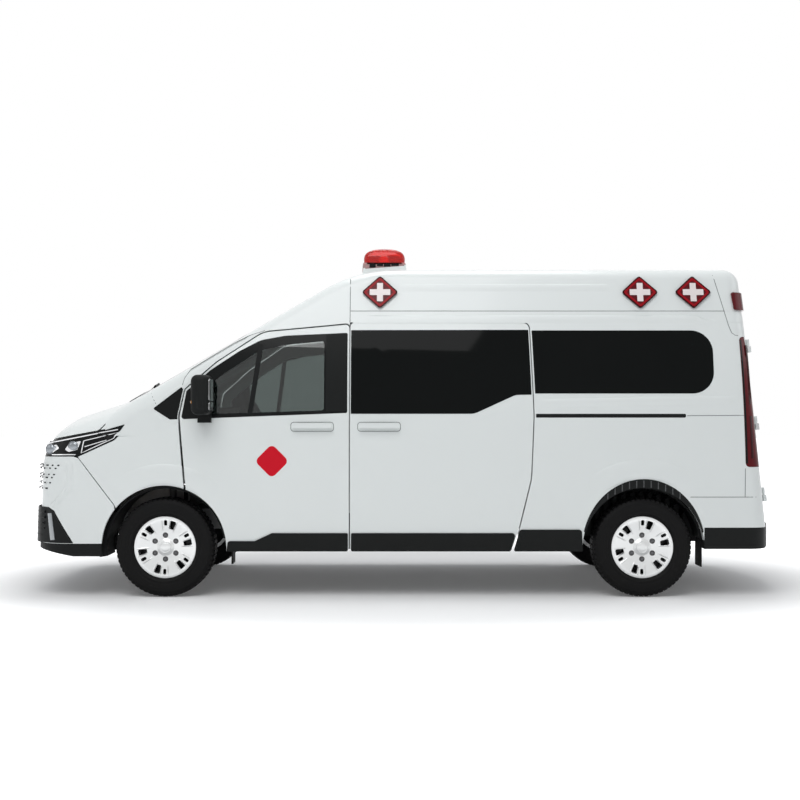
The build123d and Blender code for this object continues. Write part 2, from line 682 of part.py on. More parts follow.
# Front doors: strap hinges in pockets, handle, window, cladding and mirror
with BuildPart() as front_door_left:
    add(wall)
    add(slab(SIDE, FRONT_DOOR), mode=Mode.INTERSECT)
    add(front_arch, mode=Mode.SUBTRACT)
    add(left_half, mode=Mode.INTERSECT)
    add(beds["front"], mode=Mode.SUBTRACT)
    add(holes["front"], mode=Mode.SUBTRACT)
    add(grip_layer & slab(SIDE, DOOR_HANDLE) & left_half)
    for x in DOOR_HANDLE_FEET:
        add(grip_foot_layer & block((x - HANDLE_FOOT, x + HANDLE_FOOT), (0, HALF_BOX), HANDLE_Z))
    for z in DOOR_HINGE_Z:
        half = STRAP_H / 2 + STRAP_CLEAR
        pocket = block(
            (DOOR_HINGE_X - POCKET_BACK, DOOR_HINGE_X + POCKET_FRONT),
            (DOOR_HINGE_Y - HALF_BOX / 4, DOOR_HINGE_Y + HINGE_PIN_R + STRAP_CLEAR), (z - half, z + half),
        )
        add(pocket, mode=Mode.SUBTRACT)
        bore_foot = (DOOR_HINGE_X, DOOR_HINGE_Y, z - HINGE_PIN_L)
        add(drum(bore_foot, (0, 0, 1), HINGE_PIN_R + RUNNING_FIT, 2 * HINGE_PIN_L), mode=Mode.SUBTRACT)
pieces["front_door_left"] = front_door_left.part
pieces["front_door_right"] = mirror(front_door_left.part, about=Plane.XZ)
pieces["front_window_left"] = glass["front"] & left_half
pieces["front_window_right"] = mirror(pieces["front_window_left"], about=Plane.XZ)
pieces["door_cladding_left"] = trim_layer & slab(SIDE, DOOR_CLADDING) & left_half
pieces["door_cladding_left"] -= front_arch
pieces["door_cladding_right"] = mirror(pieces["door_cladding_left"], about=Plane.XZ)

with BuildPart() as mirror_left:
    with BuildSketch(Plane.XZ.offset(-MIRROR_IN_Y)):
        with Locations((MIRROR_X, MIRROR_Z)):
            RectangleRounded(MIRROR_D, MIRROR_H, MIRROR_EDGE)
    extrude(amount=-MIRROR_W)
    fillet(mirror_left.faces().sort_by(Axis.Y)[-1].edges(), radius=MIRROR_EDGE)
    add(block((MIRROR_X - MIRROR_ARM, MIRROR_X + MIRROR_ARM), (BELT_Y - WALL_T, MIRROR_IN_Y), MIRROR_ARM_Z))
    add(cabin[-SEAT], mode=Mode.SUBTRACT)
pieces["mirror_left"] = mirror_left.part
pieces["mirror_right"] = mirror(mirror_left.part, about=Plane.XZ)

# Bonnet, fenders, bumper, lamps and grilles
headlamp = slab(SIDE, HEADLAMP)
bonnet_zone = slab(SIDE, BONNET)
with BuildPart() as bonnet:
    add(nose_wall)
    add(bonnet_zone, mode=Mode.INTERSECT)
    for y in (-BONNET_HINGE_Y, BONNET_HINGE_Y):
        with BuildSketch(Plane.XZ.offset(-y - BONNET_ARM_T / 2)):
            with BuildLine():
                Polyline(*BONNET_ARM, close=True)
            make_face()
            with Locations((BONNET_HINGE_X, BONNET_HINGE_Z)):
                Circle(BONNET_EYE_R)
                Circle(BONNET_PIN_R + RUNNING_FIT, mode=Mode.SUBTRACT)
        extrude(amount=BONNET_ARM_T)
pieces["bonnet"] = bonnet.part

with BuildPart() as front_fenders:
    add(nose_wall)
    add(slab(SIDE, FENDER), mode=Mode.INTERSECT)
    add(front_arch, mode=Mode.SUBTRACT)
    add(door_opening, mode=Mode.SUBTRACT)
    add(bonnet_cut, mode=Mode.SUBTRACT)
    add(slab(SIDE, HEADLAMP, grow=SEAM), mode=Mode.SUBTRACT)
    add(block((NOSE_BACK_X, CABIN_FRONT_X), (-COWL_Y, COWL_Y), (0, ROOF_Z)), mode=Mode.SUBTRACT)
pieces["front_fenders"] = front_fenders.part

lower_mouth = slab(FRONT_PLANE, LOWER_GRILLE, reach=REAR_REACH)
upper_mouth = slab(FRONT_PLANE, UPPER_GRILLE, reach=REAR_REACH)
tow_way = drum((FACE_X - TAIL_RUN, TOW_Y, TOW_Z), (1, 0, 0), TOW_CLEAR_R, 2 * TAIL_RUN)
with BuildPart() as front_bumper:
    add(nose_wall)
    add(slab(SIDE, BUMPER), mode=Mode.INTERSECT)
    add(front_arch, mode=Mode.SUBTRACT)
    add(bonnet_cut, mode=Mode.SUBTRACT)
    add(slab(SIDE, HEADLAMP, grow=SEAM), mode=Mode.SUBTRACT)
    add(slab(FRONT_PLANE, LOWER_GRILLE, grow=SEAM, reach=REAR_REACH), mode=Mode.SUBTRACT)
    add(slab(FRONT_PLANE, UPPER_GRILLE, grow=SEAM, reach=REAR_REACH), mode=Mode.SUBTRACT)
pieces["front_bumper"] = front_bumper.part
grille_plate = nose[GRILLE_SET] - nose[NOSE_T]
with BuildPart() as grilles:
    for mouth, slats_z in ((lower_mouth, LOWER_SLATS_Z), (upper_mouth, UPPER_SLATS_Z)):
        add(grille_plate & mouth)
        for z in slats_z:
            slat = block((FACE_X - TAIL_RUN, NOSE_X), ACROSS, (z - SLAT_H / 2, z + SLAT_H / 2))
            add(nose_wall & mouth & slat)
    add(tow_way, mode=Mode.SUBTRACT)
with BuildPart() as headlamps:
    add(nose_wall)
    add(headlamp, mode=Mode.INTERSECT)
    add(bonnet_cut, mode=Mode.SUBTRACT)
    between = block((FACE_X - TAIL_RUN, NOSE_X), (-LAMP_IN_Y, LAMP_IN_Y), (0, ROOF_Z))
    add(between, mode=Mode.SUBTRACT)
pieces["headlamps"] = headlamps.part
with BuildPart() as front_valance:
    add(nose_wall)
    add(block((FRONT_AXLE_X, NOSE_X), ACROSS, (VALANCE_Z, VALANCE_TOP_Z)), mode=Mode.INTERSECT)
    add(front_arch, mode=Mode.SUBTRACT)
pieces["front_valance"] = Part() + front_valance.solids() + grilles.solids()

# Light bar and side lamps on the roof
LIGHT_BAR = [(-24, 2240, 10), (-24, 2358, 10), (290, 2334, 10), (300, 2240, 10)]
LIGHT_LENS = [
    (-10, 2350, 0), (-6, 2428, 30), (60, 2472, 60), (170, 2468, 60), (262, 2424, 50), (276, 2328, 0),
]
with BuildPart() as light_bar_base:
    add(slab(SIDE, LIGHT_BAR, reach=LIGHT_BAR_Y))
    add(slab(SIDE, LIGHT_LENS, grow=SEAM, reach=LIGHT_BAR_Y), mode=Mode.SUBTRACT)
    add(cabin[-SEAT], mode=Mode.SUBTRACT)
pieces["light_bar_base"] = light_bar_base.part
pieces["light_bar_lens"] = slab(SIDE, LIGHT_LENS, reach=LIGHT_BAR_Y - LAMP_T)
lamps = Part()
for x in CROSS_LAMP_X:
    diamond = [
        (x - CROSS_LAMP_W, CROSS_LAMP_Z, CROSS_LAMP_R), (x, CROSS_LAMP_Z + CROSS_LAMP_H, CROSS_LAMP_R),
        (x + CROSS_LAMP_W, CROSS_LAMP_Z, CROSS_LAMP_R), (x, CROSS_LAMP_Z - CROSS_LAMP_H, CROSS_LAMP_R),
    ]
    lamps += lamp_layer & slab(SIDE, diamond)
pieces["cross_lamps"] = lamps


# Floor, frame rails and sills
FLOOR_TOP_Z = FLOOR_Z + FLOOR_T
LINER_OUT_R = LINER_R + LINER_T
with BuildPart() as floor_pan:
    add(block((FLOOR_BACK_X, SEAM_X), ACROSS, (FLOOR_Z, FLOOR_TOP_Z)))
    add(cabin[WALL_T + SEAT], mode=Mode.INTERSECT)
    add(block((SEAM_X - FLOOR_T, FOOTWELL_X), (-SILL_OUT_Y, SILL_OUT_Y), (FLOOR_Z, FLOOR_TOP_Z)))
    add(block((FOOTWELL_X - FLOOR_T, FIREWALL_X), (-FOOTWELL_Y, FOOTWELL_Y), (FLOOR_Z, FLOOR_TOP_Z)))
    for name, sign in SIDES:
        wheel_house = block(
            (REAR_AXLE_X - LINER_OUT_R - SEAT, REAR_AXLE_X + LINER_OUT_R + SEAT),
            (sign * (LINER_IN_Y - LINER_T - SEAT), sign * HALF_BOX), (FLOOR_Z, FLOOR_TOP_Z),
        )
        add(wheel_house, mode=Mode.SUBTRACT)
        sill_y = (sign * SILL_IN_Y, sign * SILL_OUT_Y)
        add(block((SLIDING_DOOR[6][0], FOOTWELL_X), sill_y, (SILL_LOW_Z, FLOOR_Z)))
        rail_y = (sign * (RAIL_Y - RAIL_W / 2), sign * (RAIL_Y + RAIL_W / 2))
        rail = block((FLOOR_BACK_X, NOSE_X), rail_y, (FLOOR_Z - RAIL_H, FLOOR_Z))
        front_rail = rail & nose[NOSE_T + SEAT]
        add(front_rail)
        add(rail & block((FLOOR_BACK_X, NOSE_BACK_X + TAIL_RUN), ACROSS, (0, FLOOR_Z)))
    add(block((FLOOR_BACK_X, FLOOR_BACK_X + HITCH_W), (-HITCH_Y, HITCH_Y), (FLOOR_Z - HITCH_H, FLOOR_Z)))
    add(drum((TOW_FACE_X - TOW_L - FLOOR_T, TOW_Y, TOW_Z), (1, 0, 0), TOW_BOSS_R, TOW_L + FLOOR_T))
    tow_web_x = (TOW_FACE_X - TOW_L, TOW_FACE_X - FLOOR_T)
    add(block(tow_web_x, (TOW_Y, RAIL_Y), (TOW_Z - TOW_HOLE_R, TOW_Z + TOW_HOLE_R)))
    add(drum((TOW_FACE_X - TOW_L, TOW_Y, TOW_Z), (1, 0, 0), TOW_HOLE_R, TOW_L), mode=Mode.SUBTRACT)
    for x in (-HITCH_DX / 2, HITCH_DX / 2):
        for y in (-HITCH_DY / 2, HITCH_DY / 2):
            hole_foot = (FLOOR_BACK_X + HITCH_W / 2 + x, y, FLOOR_Z - HITCH_H)
            add(drum(hole_foot, (0, 0, 1), HITCH_HOLE_R, HITCH_DEPTH), mode=Mode.SUBTRACT)
pieces["floor_pan"] = floor_pan.part

with BuildPart() as firewall:
    sheet_x = (FIREWALL_X + SEAT, FIREWALL_X + FIREWALL_T)
    add(block(sheet_x, (-FOOTWELL_Y, FOOTWELL_Y), (FLOOR_Z, SHELF_Z)))
    add(block(sheet_x, (-DASH_Y, DASH_Y), (AXLE_Z + FRONT_ARCH_R, SHELF_Z)))
    add(block((FIREWALL_X + SEAT, SHELF_X), (-DASH_Y, DASH_Y), (SHELF_Z - FIREWALL_T, SHELF_Z)))
    add(nose[NOSE_T + SEAT], mode=Mode.INTERSECT)
    cowl = block((SHELF_X - COWL_L, SHELF_X), ACROSS, (SHELF_Z - FIREWALL_T, ROOF_Z))
    add(nose[NOSE_T + SEAT] & cowl)
    for y in (-BONNET_HINGE_Y, BONNET_HINGE_Y):
        side = BONNET_ARM_T / 2 + STRAP_CLEAR
        add(arm_slot(y), mode=Mode.SUBTRACT)
        add(drum((BONNET_HINGE_X, y - 2 * side, BONNET_HINGE_Z), (0, 1, 0), BONNET_PIN_R, 4 * side))
pieces["firewall"] = firewall.part

# Pillars behind the panels, with the straps and pins of the front doors
with BuildPart() as pillars:
    for x_low, x_high in PILLAR_SPANS:
        add(pillar_layer & block((x_low, x_high), ACROSS, (FLOOR_TOP_Z + SEAT, CANT_Z - SEAM)))
with BuildPart() as hinge_pillars:
    for name, sign in SIDES:
        add(block((DOOR_HINGE_X - HINGE_POST_BACK, DOOR_HINGE_X - HINGE_POST_FRONT),
                  (sign * HINGE_POST_IN_Y, sign * HINGE_POST_OUT_Y), (HINGE_POST_LOW_Z, HINGE_POST_TOP_Z)))
        for z in DOOR_HINGE_Z:
            with BuildSketch(Plane.XY.offset(z - STRAP_H / 2)):
                with BuildLine():
                    Polyline(
                        (DOOR_HINGE_X - HINGE_POST_BACK, sign * (HINGE_POST_OUT_Y - LINER_T)),
                        (DOOR_HINGE_X - HINGE_POST_FRONT, sign * (HINGE_POST_OUT_Y - LINER_T)),
                        (DOOR_HINGE_X + 2 * HINGE_PIN_R, sign * DOOR_HINGE_Y),
                        (DOOR_HINGE_X - 2 * HINGE_PIN_R, sign * DOOR_HINGE_Y), close=True,
                    )
                make_face()
                with Locations((DOOR_HINGE_X, sign * DOOR_HINGE_Y)):
                    Circle(2 * HINGE_PIN_R - 1)
            extrude(amount=STRAP_H)
            pin_foot = (DOOR_HINGE_X, sign * DOOR_HINGE_Y, z - HINGE_PIN_L + STRAP_CLEAR)
            add(drum(pin_foot, (0, 0, 1), HINGE_PIN_R, 2 * (HINGE_PIN_L - STRAP_CLEAR)))
        post_y = (sign * (HINGE_POST_IN_Y - FLOOR_T), sign * HINGE_POST_IN_Y)
        post_x = (DOOR_HINGE_X - HINGE_POST_BACK, FIREWALL_X - SEAT)
        add(block(post_x, post_y, (HINGE_POST_LOW_Z, HINGE_POST_TOP_Z)))
pieces["pillars"] = Part() + pillars.solids() + hinge_pillars.solids()

# Wheel arch liners
with BuildPart() as wheel_liners:
    for name, sign in SIDES:
        for axle_x, in_y in ((FRONT_AXLE_X, FRONT_LINER_Y), (REAR_AXLE_X, LINER_IN_Y)):
            with BuildSketch(Plane.XZ.offset(-sign * in_y)):
                with Locations((axle_x, AXLE_Z)):
                    Circle(LINER_OUT_R)
                    Circle(LINER_R, mode=Mode.SUBTRACT)
                with Locations((axle_x, AXLE_Z - LINER_OUT_R + LINER_LOW)):
                    Rectangle(3 * LINER_OUT_R, 2 * LINER_OUT_R, mode=Mode.SUBTRACT)
            extrude(amount=-sign * (LINER_EDGE_Y - in_y))
        with BuildSketch(Plane.XZ.offset(-sign * LINER_IN_Y)):
            with Locations((REAR_AXLE_X, AXLE_Z)):
                Circle(LINER_OUT_R)
            with Locations((REAR_AXLE_X, AXLE_Z - LINER_OUT_R + LINER_LOW)):
                Rectangle(3 * LINER_OUT_R, 2 * LINER_OUT_R, mode=Mode.SUBTRACT)
        extrude(amount=sign * LINER_T)
pieces["wheel_liners"] = wheel_liners.part

# Wheels: one tyre and one rim, set at the four corners
# Sections: y, r
TYRE = [
    (-80, RIM_R + SEAT), (-104, 252), (-107.5, 290), (-99, 326), (-78, TYRE_R),
    (78, TYRE_R), (99, 326), (107.5, 290), (104, 252), (80, RIM_R + SEAT),
]
RIM = [
    (-85, 190), (-85, RIM_R), (85, RIM_R), (88, 200), (74, 120), (66, 60), (78, 38), (82, 0), (64, 0),
    (64, SPINDLE_R + RUNNING_FIT), (8, SPINDLE_R + RUNNING_FIT), (8, 62), (48, 66), (58, 120), (70, 190),
]
with BuildPart() as tyre:
    with BuildSketch(Plane.YZ):
        with BuildLine():
            Polyline(*TYRE, close=True)
        make_face()
    revolve(axis=Axis.Y)
with BuildPart() as rim:
    with BuildSketch(Plane.YZ):
        with BuildLine():
            Polyline(*RIM, close=True)
        make_face()
    revolve(axis=Axis.Y)
    with BuildSketch(Plane.XZ):
        for inner_r, outer_r, width, angle in COVER_WINDOWS:
            with PolarLocations((inner_r + outer_r) / 2, LUG_COUNT, start_angle=LUG_TURN + angle):
                RectangleRounded(outer_r - inner_r, width, WINDOW_CORNER)
    extrude(amount=-TYRE_W, mode=Mode.SUBTRACT)
    with BuildSketch(Plane.XZ.offset(-LUG_SEAT)):
        with PolarLocations(LUG_AT_R, LUG_COUNT, start_angle=LUG_TURN):
            Circle(LUG_R)
    extrude(amount=-TYRE_W, mode=Mode.SUBTRACT)

CORNERS = [("front_left", FRONT_AXLE_X, 1), ("front_right", FRONT_AXLE_X, -1),
           ("rear_left", REAR_AXLE_X, 1), ("rear_right", REAR_AXLE_X, -1)]
for name, axle_x, sign in CORNERS:
    place = Location((axle_x, sign * WHEEL_Y, AXLE_Z), (0, 0, 0 if sign > 0 else 180))
    pieces["tyre_" + name] = place * tyre.part
    pieces["rim_" + name] = place * rim.part

# Steering knuckles on their kingpins, carried by the front suspension
EYE_LOW = ARM_H / 2 + ARM_CLEAR
with BuildPart() as knuckle:
    for z in (EYE_LOW, -EYE_LOW - EYE_H):
        add(drum((0, -KINGPIN_INSET, z), (0, 0, 1), EYE_R, EYE_H))
        add(block((-EYE_R, EYE_R), (-KINGPIN_INSET, -PLATE_T), (z, z + EYE_H)))
    add(block((-PLATE_W / 2, PLATE_W / 2), (-PLATE_T, 0), (-EYE_LOW - EYE_H, EYE_LOW + EYE_H)))
    add(drum((0, -PLATE_T, 0), (0, 1, 0), SPINDLE_R, PLATE_T + SPINDLE_L))
    pin_bore = drum((0, -KINGPIN_INSET, -TYRE_R), (0, 0, 1), KINGPIN_R + RUNNING_FIT, 2 * TYRE_R)
    add(pin_bore, mode=Mode.SUBTRACT)
for name, sign in SIDES:
    place = Location((FRONT_AXLE_X, sign * WHEEL_Y, AXLE_Z), (0, 0, 0 if sign > 0 else 180))
    pieces["knuckle_" + name] = place * knuckle.part

with BuildPart() as front_suspension:
    add(block((FRONT_AXLE_X - CROSS_W / 2, FRONT_AXLE_X + CROSS_W / 2), (-CROSS_Y, CROSS_Y),
              (CROSS_LOW_Z, FLOOR_Z - RAIL_H - SEAT)))
    for name, sign in SIDES:
        pin_y = sign * (WHEEL_Y - KINGPIN_INSET)
        add(block((FRONT_AXLE_X - ARM_END_R, FRONT_AXLE_X + ARM_END_R), (sign * (CROSS_Y - FLOOR_T), pin_y),
                  (AXLE_Z - ARM_H / 2, AXLE_Z + ARM_H / 2)))
        add(drum((FRONT_AXLE_X, pin_y, AXLE_Z - ARM_H / 2), (0, 0, 1), ARM_END_R, ARM_H))
        pin_foot = (FRONT_AXLE_X, pin_y, AXLE_Z - EYE_LOW - EYE_H)
        add(drum(pin_foot, (0, 0, 1), KINGPIN_R, 2 * (EYE_LOW + EYE_H)))
        add(drum((FRONT_AXLE_X, sign * STRUT_Y, AXLE_Z), (0, 0, 1), STRUT_R, LINER_R - STRUT_DROP - SEAT))
        spring_foot = (FRONT_AXLE_X, sign * STRUT_Y, AXLE_Z + ARM_H / 2 + SPRING_UP)
        add(drum(spring_foot, (0, 0, 1), SPRING_R, SPRING_L))
pieces["front_suspension"] = front_suspension.part

with BuildPart() as rear_axle:
    add(drum((REAR_AXLE_X, -TUBE_Y, AXLE_Z), (0, 1, 0), TUBE_R, 2 * TUBE_Y))
    add(drum((REAR_AXLE_X, -WHEEL_Y - SPINDLE_L, AXLE_Z), (0, 1, 0), SPINDLE_R, 2 * (WHEEL_Y + SPINDLE_L)))
    with Locations((REAR_AXLE_X, 0, AXLE_Z)):
        Sphere(DIFF_R)
pieces["rear_axle"] = rear_axle.part

with BuildPart() as leaf_springs:
    base_z = AXLE_Z + TUBE_R + SEAT
    for name, sign in SIDES:
        with BuildSketch(Plane.XZ.offset(-sign * SPRING_Y - SPRING_W / 2)):
            with BuildLine():
                back_x, ahead_x = REAR_AXLE_X - LEAF_RUN, REAR_AXLE_X + LEAF_RUN
                low_z, high_z = FLOOR_Z - LEAF_H - SEAT, FLOOR_Z - SEAT
                under = ThreePointArc((back_x, low_z), (REAR_AXLE_X, base_z), (ahead_x, low_z))
                Line(under @ 1, (ahead_x, high_z))
                over = ThreePointArc((ahead_x, high_z), (REAR_AXLE_X, base_z + LEAF_H), (back_x, high_z))
                Line(over @ 1, under @ 0)
            make_face()
        extrude(amount=SPRING_W)
pieces["leaf_springs"] = leaf_springs.part

# Under the floor
pieces["fuel_tank"] = block(TANK_X, TANK_Y, (TANK_LOW_Z, FLOOR_Z - SEAT))
pieces["spare_wheel"] = drum((SPARE_X, SPARE_Y, FLOOR_Z - SEAT - TYRE_W), (0, 0, 1), SPARE_R, TYRE_W)
with BuildPart() as exhaust:
    add(drum((EXHAUST_X[0], EXHAUST_Y, EXHAUST_Z), (1, 0, 0), PIPE_R, EXHAUST_X[1] - EXHAUST_X[0]))
    muffler_r = FLOOR_Z - EXHAUST_Z - SEAT
    add(drum((MUFFLER_X[0], EXHAUST_Y, EXHAUST_Z), (1, 0, 0), muffler_r, MUFFLER_X[1] - MUFFLER_X[0]))
pieces["exhaust"] = exhaust.part
with BuildPart() as engine_block:
    add(block(ENGINE_X, (-ENGINE_Y, ENGINE_Y), ENGINE_Z))
    mount_y = RAIL_Y - RAIL_W / 2 - SEAT
    add(block((ENGINE_X[0] + ENGINE_Y, ENGINE_X[0] + ENGINE_Y + RAIL_W), (-mount_y, mount_y),
              (FLOOR_Z - RAIL_H, FLOOR_Z - RAIL_W)))
pieces["engine_block"] = engine_block.part

# Rear bumper and mud flaps
with BuildPart() as rear_bumper:
    with BuildSketch(Plane.XY.offset(BUMPER_LOW_Z)) as bumper_plan:
        with BuildLine():
            inner_y = BUMPER_Y - BUMPER_T
            Line((BUMPER_SIDE_X, -BUMPER_Y), (BUMPER_CORNER_X, -BUMPER_Y))
            ThreePointArc((BUMPER_CORNER_X, -BUMPER_Y), (BUMPER_BACK_X, 0), (BUMPER_CORNER_X, BUMPER_Y))
            Polyline((BUMPER_CORNER_X, BUMPER_Y), (BUMPER_SIDE_X, BUMPER_Y), (BUMPER_SIDE_X, inner_y),
                     (BUMPER_CORNER_X + BUMPER_T, inner_y))
            ThreePointArc((BUMPER_CORNER_X + BUMPER_T, inner_y), (BUMPER_BACK_X + BUMPER_T, 0),
                          (BUMPER_CORNER_X + BUMPER_T, -inner_y))
            Polyline((BUMPER_CORNER_X + BUMPER_T, -inner_y), (BUMPER_SIDE_X, -inner_y),
                     (BUMPER_SIDE_X, -BUMPER_Y))
        make_face()
        corners = [v for v in bumper_plan.vertices() if v.X < BUMPER_CORNER_X + SEAM and abs(v.Y) > inner_y]
        fillet(corners, radius=BUMPER_R)
    extrude(amount=BUMPER_TOP_Z - BUMPER_LOW_Z - SEAM)
    for name, sign in SIDES:
        add(block((BUMPER_BACK_X + BUMPER_T - FLOOR_T, FLOOR_BACK_X - SEAT),
                  (sign * BRACKET_Y[0], sign * BRACKET_Y[1]), (FLOOR_Z - HITCH_H, BUMPER_TOP_Z - SEAM)))
pieces["rear_bumper"] = rear_bumper.part
with BuildPart() as mud_flaps:
    for x, low_z, high_z, in_y, out_y in MUD_FLAPS:
        for name, sign in SIDES:
            add(block((x - FLAP_T, x), (sign * in_y, sign * out_y), (low_z, high_z)))
pieces["mud_flaps"] = mud_flaps.part

# Cab interior and partition
with BuildPart() as dashboard:
    with BuildSketch(SIDE):
        with BuildLine():
            Polyline(*DASH, close=True)
        make_face()
    extrude(amount=DASH_W, both=True)
pieces["dashboard"] = dashboard.part
with BuildPart() as steering_wheel:
    with BuildSketch(Plane(origin=WHEEL_AT, x_dir=(0, 1, 0), z_dir=COLUMN_DIR)) as hub:
        Circle(HUB_R)
        for turn in (0, 120, 240):
            with PolarLocations(HANDWHEEL_R / 2, 1, start_angle=turn + 30):
                Rectangle(HANDWHEEL_R, SPOKE_W)
    extrude(amount=SPOKE_W / 4, both=True)
    with Locations(Plane(origin=WHEEL_AT, x_dir=(0, 1, 0), z_dir=COLUMN_DIR)):
        Torus(HANDWHEEL_R, GRIP_R)
    add(drum(WHEEL_AT, COLUMN_DIR, HUB_R / 2, COLUMN_L))
    add(dashboard.part, mode=Mode.SUBTRACT)
pieces["steering_wheel"] = Part() + steering_wheel.part.solids().sort_by(SortBy.VOLUME)[-1]
with BuildPart() as cab_seats:
    for name, sign in SIDES:
        with BuildSketch(Plane.XZ.offset(-sign * SEAT_Y - SEAT_W / 2)):
            with BuildLine():
                corners = [corner for x, z, corner in SEAT_SIDE]
                FilletPolyline(*[(x, z) for x, z, corner in SEAT_SIDE], radius=corners, close=True)
            make_face()
        extrude(amount=SEAT_W)
pieces["cab_seats"] = cab_seats.part
with BuildPart() as partition:
    add(cabin[WALL_T + PILLAR_T + SEAT])
    add(block(PARTITION_X, ACROSS, (FLOOR_TOP_Z + SEAT, CANT_Z)), mode=Mode.INTERSECT)
    add(block(PARTITION_X, (-HATCH_Y, HATCH_Y), HATCH_Z), mode=Mode.SUBTRACT)
pieces["partition"] = partition.part

for name, solid in pieces.items():
    solid.label = name
    export_step(solid, "parts/" + name + ".step")
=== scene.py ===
"""Looks of a high-roof van ambulance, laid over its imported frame."""

import json
import logging
from dataclasses import dataclass, field
from enum import Enum
from math import atan2, cos, pi, radians, sin, tan

import bmesh
import bpy
from mathutils import Matrix, Vector
from mathutils.bvhtree import BVHTree

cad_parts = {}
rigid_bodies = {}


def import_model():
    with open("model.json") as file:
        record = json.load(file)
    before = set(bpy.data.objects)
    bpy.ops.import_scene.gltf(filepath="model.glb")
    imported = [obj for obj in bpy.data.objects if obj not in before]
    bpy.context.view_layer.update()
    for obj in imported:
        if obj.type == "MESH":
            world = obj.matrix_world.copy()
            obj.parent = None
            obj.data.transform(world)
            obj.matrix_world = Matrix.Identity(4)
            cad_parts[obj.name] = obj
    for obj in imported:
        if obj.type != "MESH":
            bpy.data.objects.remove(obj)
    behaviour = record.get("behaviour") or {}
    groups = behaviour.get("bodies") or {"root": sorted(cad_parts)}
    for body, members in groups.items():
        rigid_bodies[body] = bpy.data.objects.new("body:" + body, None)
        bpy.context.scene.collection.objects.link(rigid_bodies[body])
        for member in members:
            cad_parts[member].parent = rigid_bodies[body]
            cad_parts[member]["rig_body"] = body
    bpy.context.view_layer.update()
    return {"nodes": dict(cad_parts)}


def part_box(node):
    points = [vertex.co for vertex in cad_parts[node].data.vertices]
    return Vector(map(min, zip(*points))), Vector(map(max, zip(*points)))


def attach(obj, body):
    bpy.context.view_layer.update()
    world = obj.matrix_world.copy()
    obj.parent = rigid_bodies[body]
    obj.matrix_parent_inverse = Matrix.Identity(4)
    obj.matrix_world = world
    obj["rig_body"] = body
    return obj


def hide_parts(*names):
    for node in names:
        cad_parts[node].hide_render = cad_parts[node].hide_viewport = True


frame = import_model()

log = logging.getLogger("ambulance")

Point2 = tuple[float, float]
Corner = tuple[float, float, float]
Colour = tuple[float, float, float]

NOSE_TURN_X = 2.0
NOSE_TURN_R = 0.7
BRIDGE = 0.008
GAP_DEPTH = 0.010
AXLE_Z = 0.343
MISS_DEPTH = 4.0
END_SINK = 0.0012
MERGE = 1e-5


class View(Enum):
    """Side from which an outline is laid on the body."""

    LEFT = 1
    RIGHT = 2
    FRONT = 3
    REAR = 4
    TOP = 5
    NOSE = 6

    def ray(self, a: float, b: float) -> tuple[Vector, Vector]:
        """Ray that meets the body at an outline's point.

        Args:
            a: First coordinate of the outline, x from the sides and top, y from front and rear, and the way
                round the nose from its middle.
            b: Second coordinate, z, or y from the top.

        Returns:
            Start and direction of the ray.
        """
        turn = a / NOSE_TURN_R
        rays = {
            View.LEFT: ((a, 3, b), (0, -1, 0)),
            View.RIGHT: ((a, -3, b), (0, 1, 0)),
            View.FRONT: ((4, a, b), (-1, 0, 0)),
            View.REAR: ((-4, a, b), (1, 0, 0)),
            View.TOP: ((a, b, 4), (0, 0, -1)),
            View.NOSE: ((NOSE_TURN_X + 3 * cos(turn), 3 * sin(turn), b), (-cos(turn), -sin(turn), 0)),
        }
        start, heading = rays[self]
        return Vector(start), Vector(heading)


SIDES: tuple[tuple[View, str, int], ...] = ((View.LEFT, "left", 1), (View.RIGHT, "right", -1))


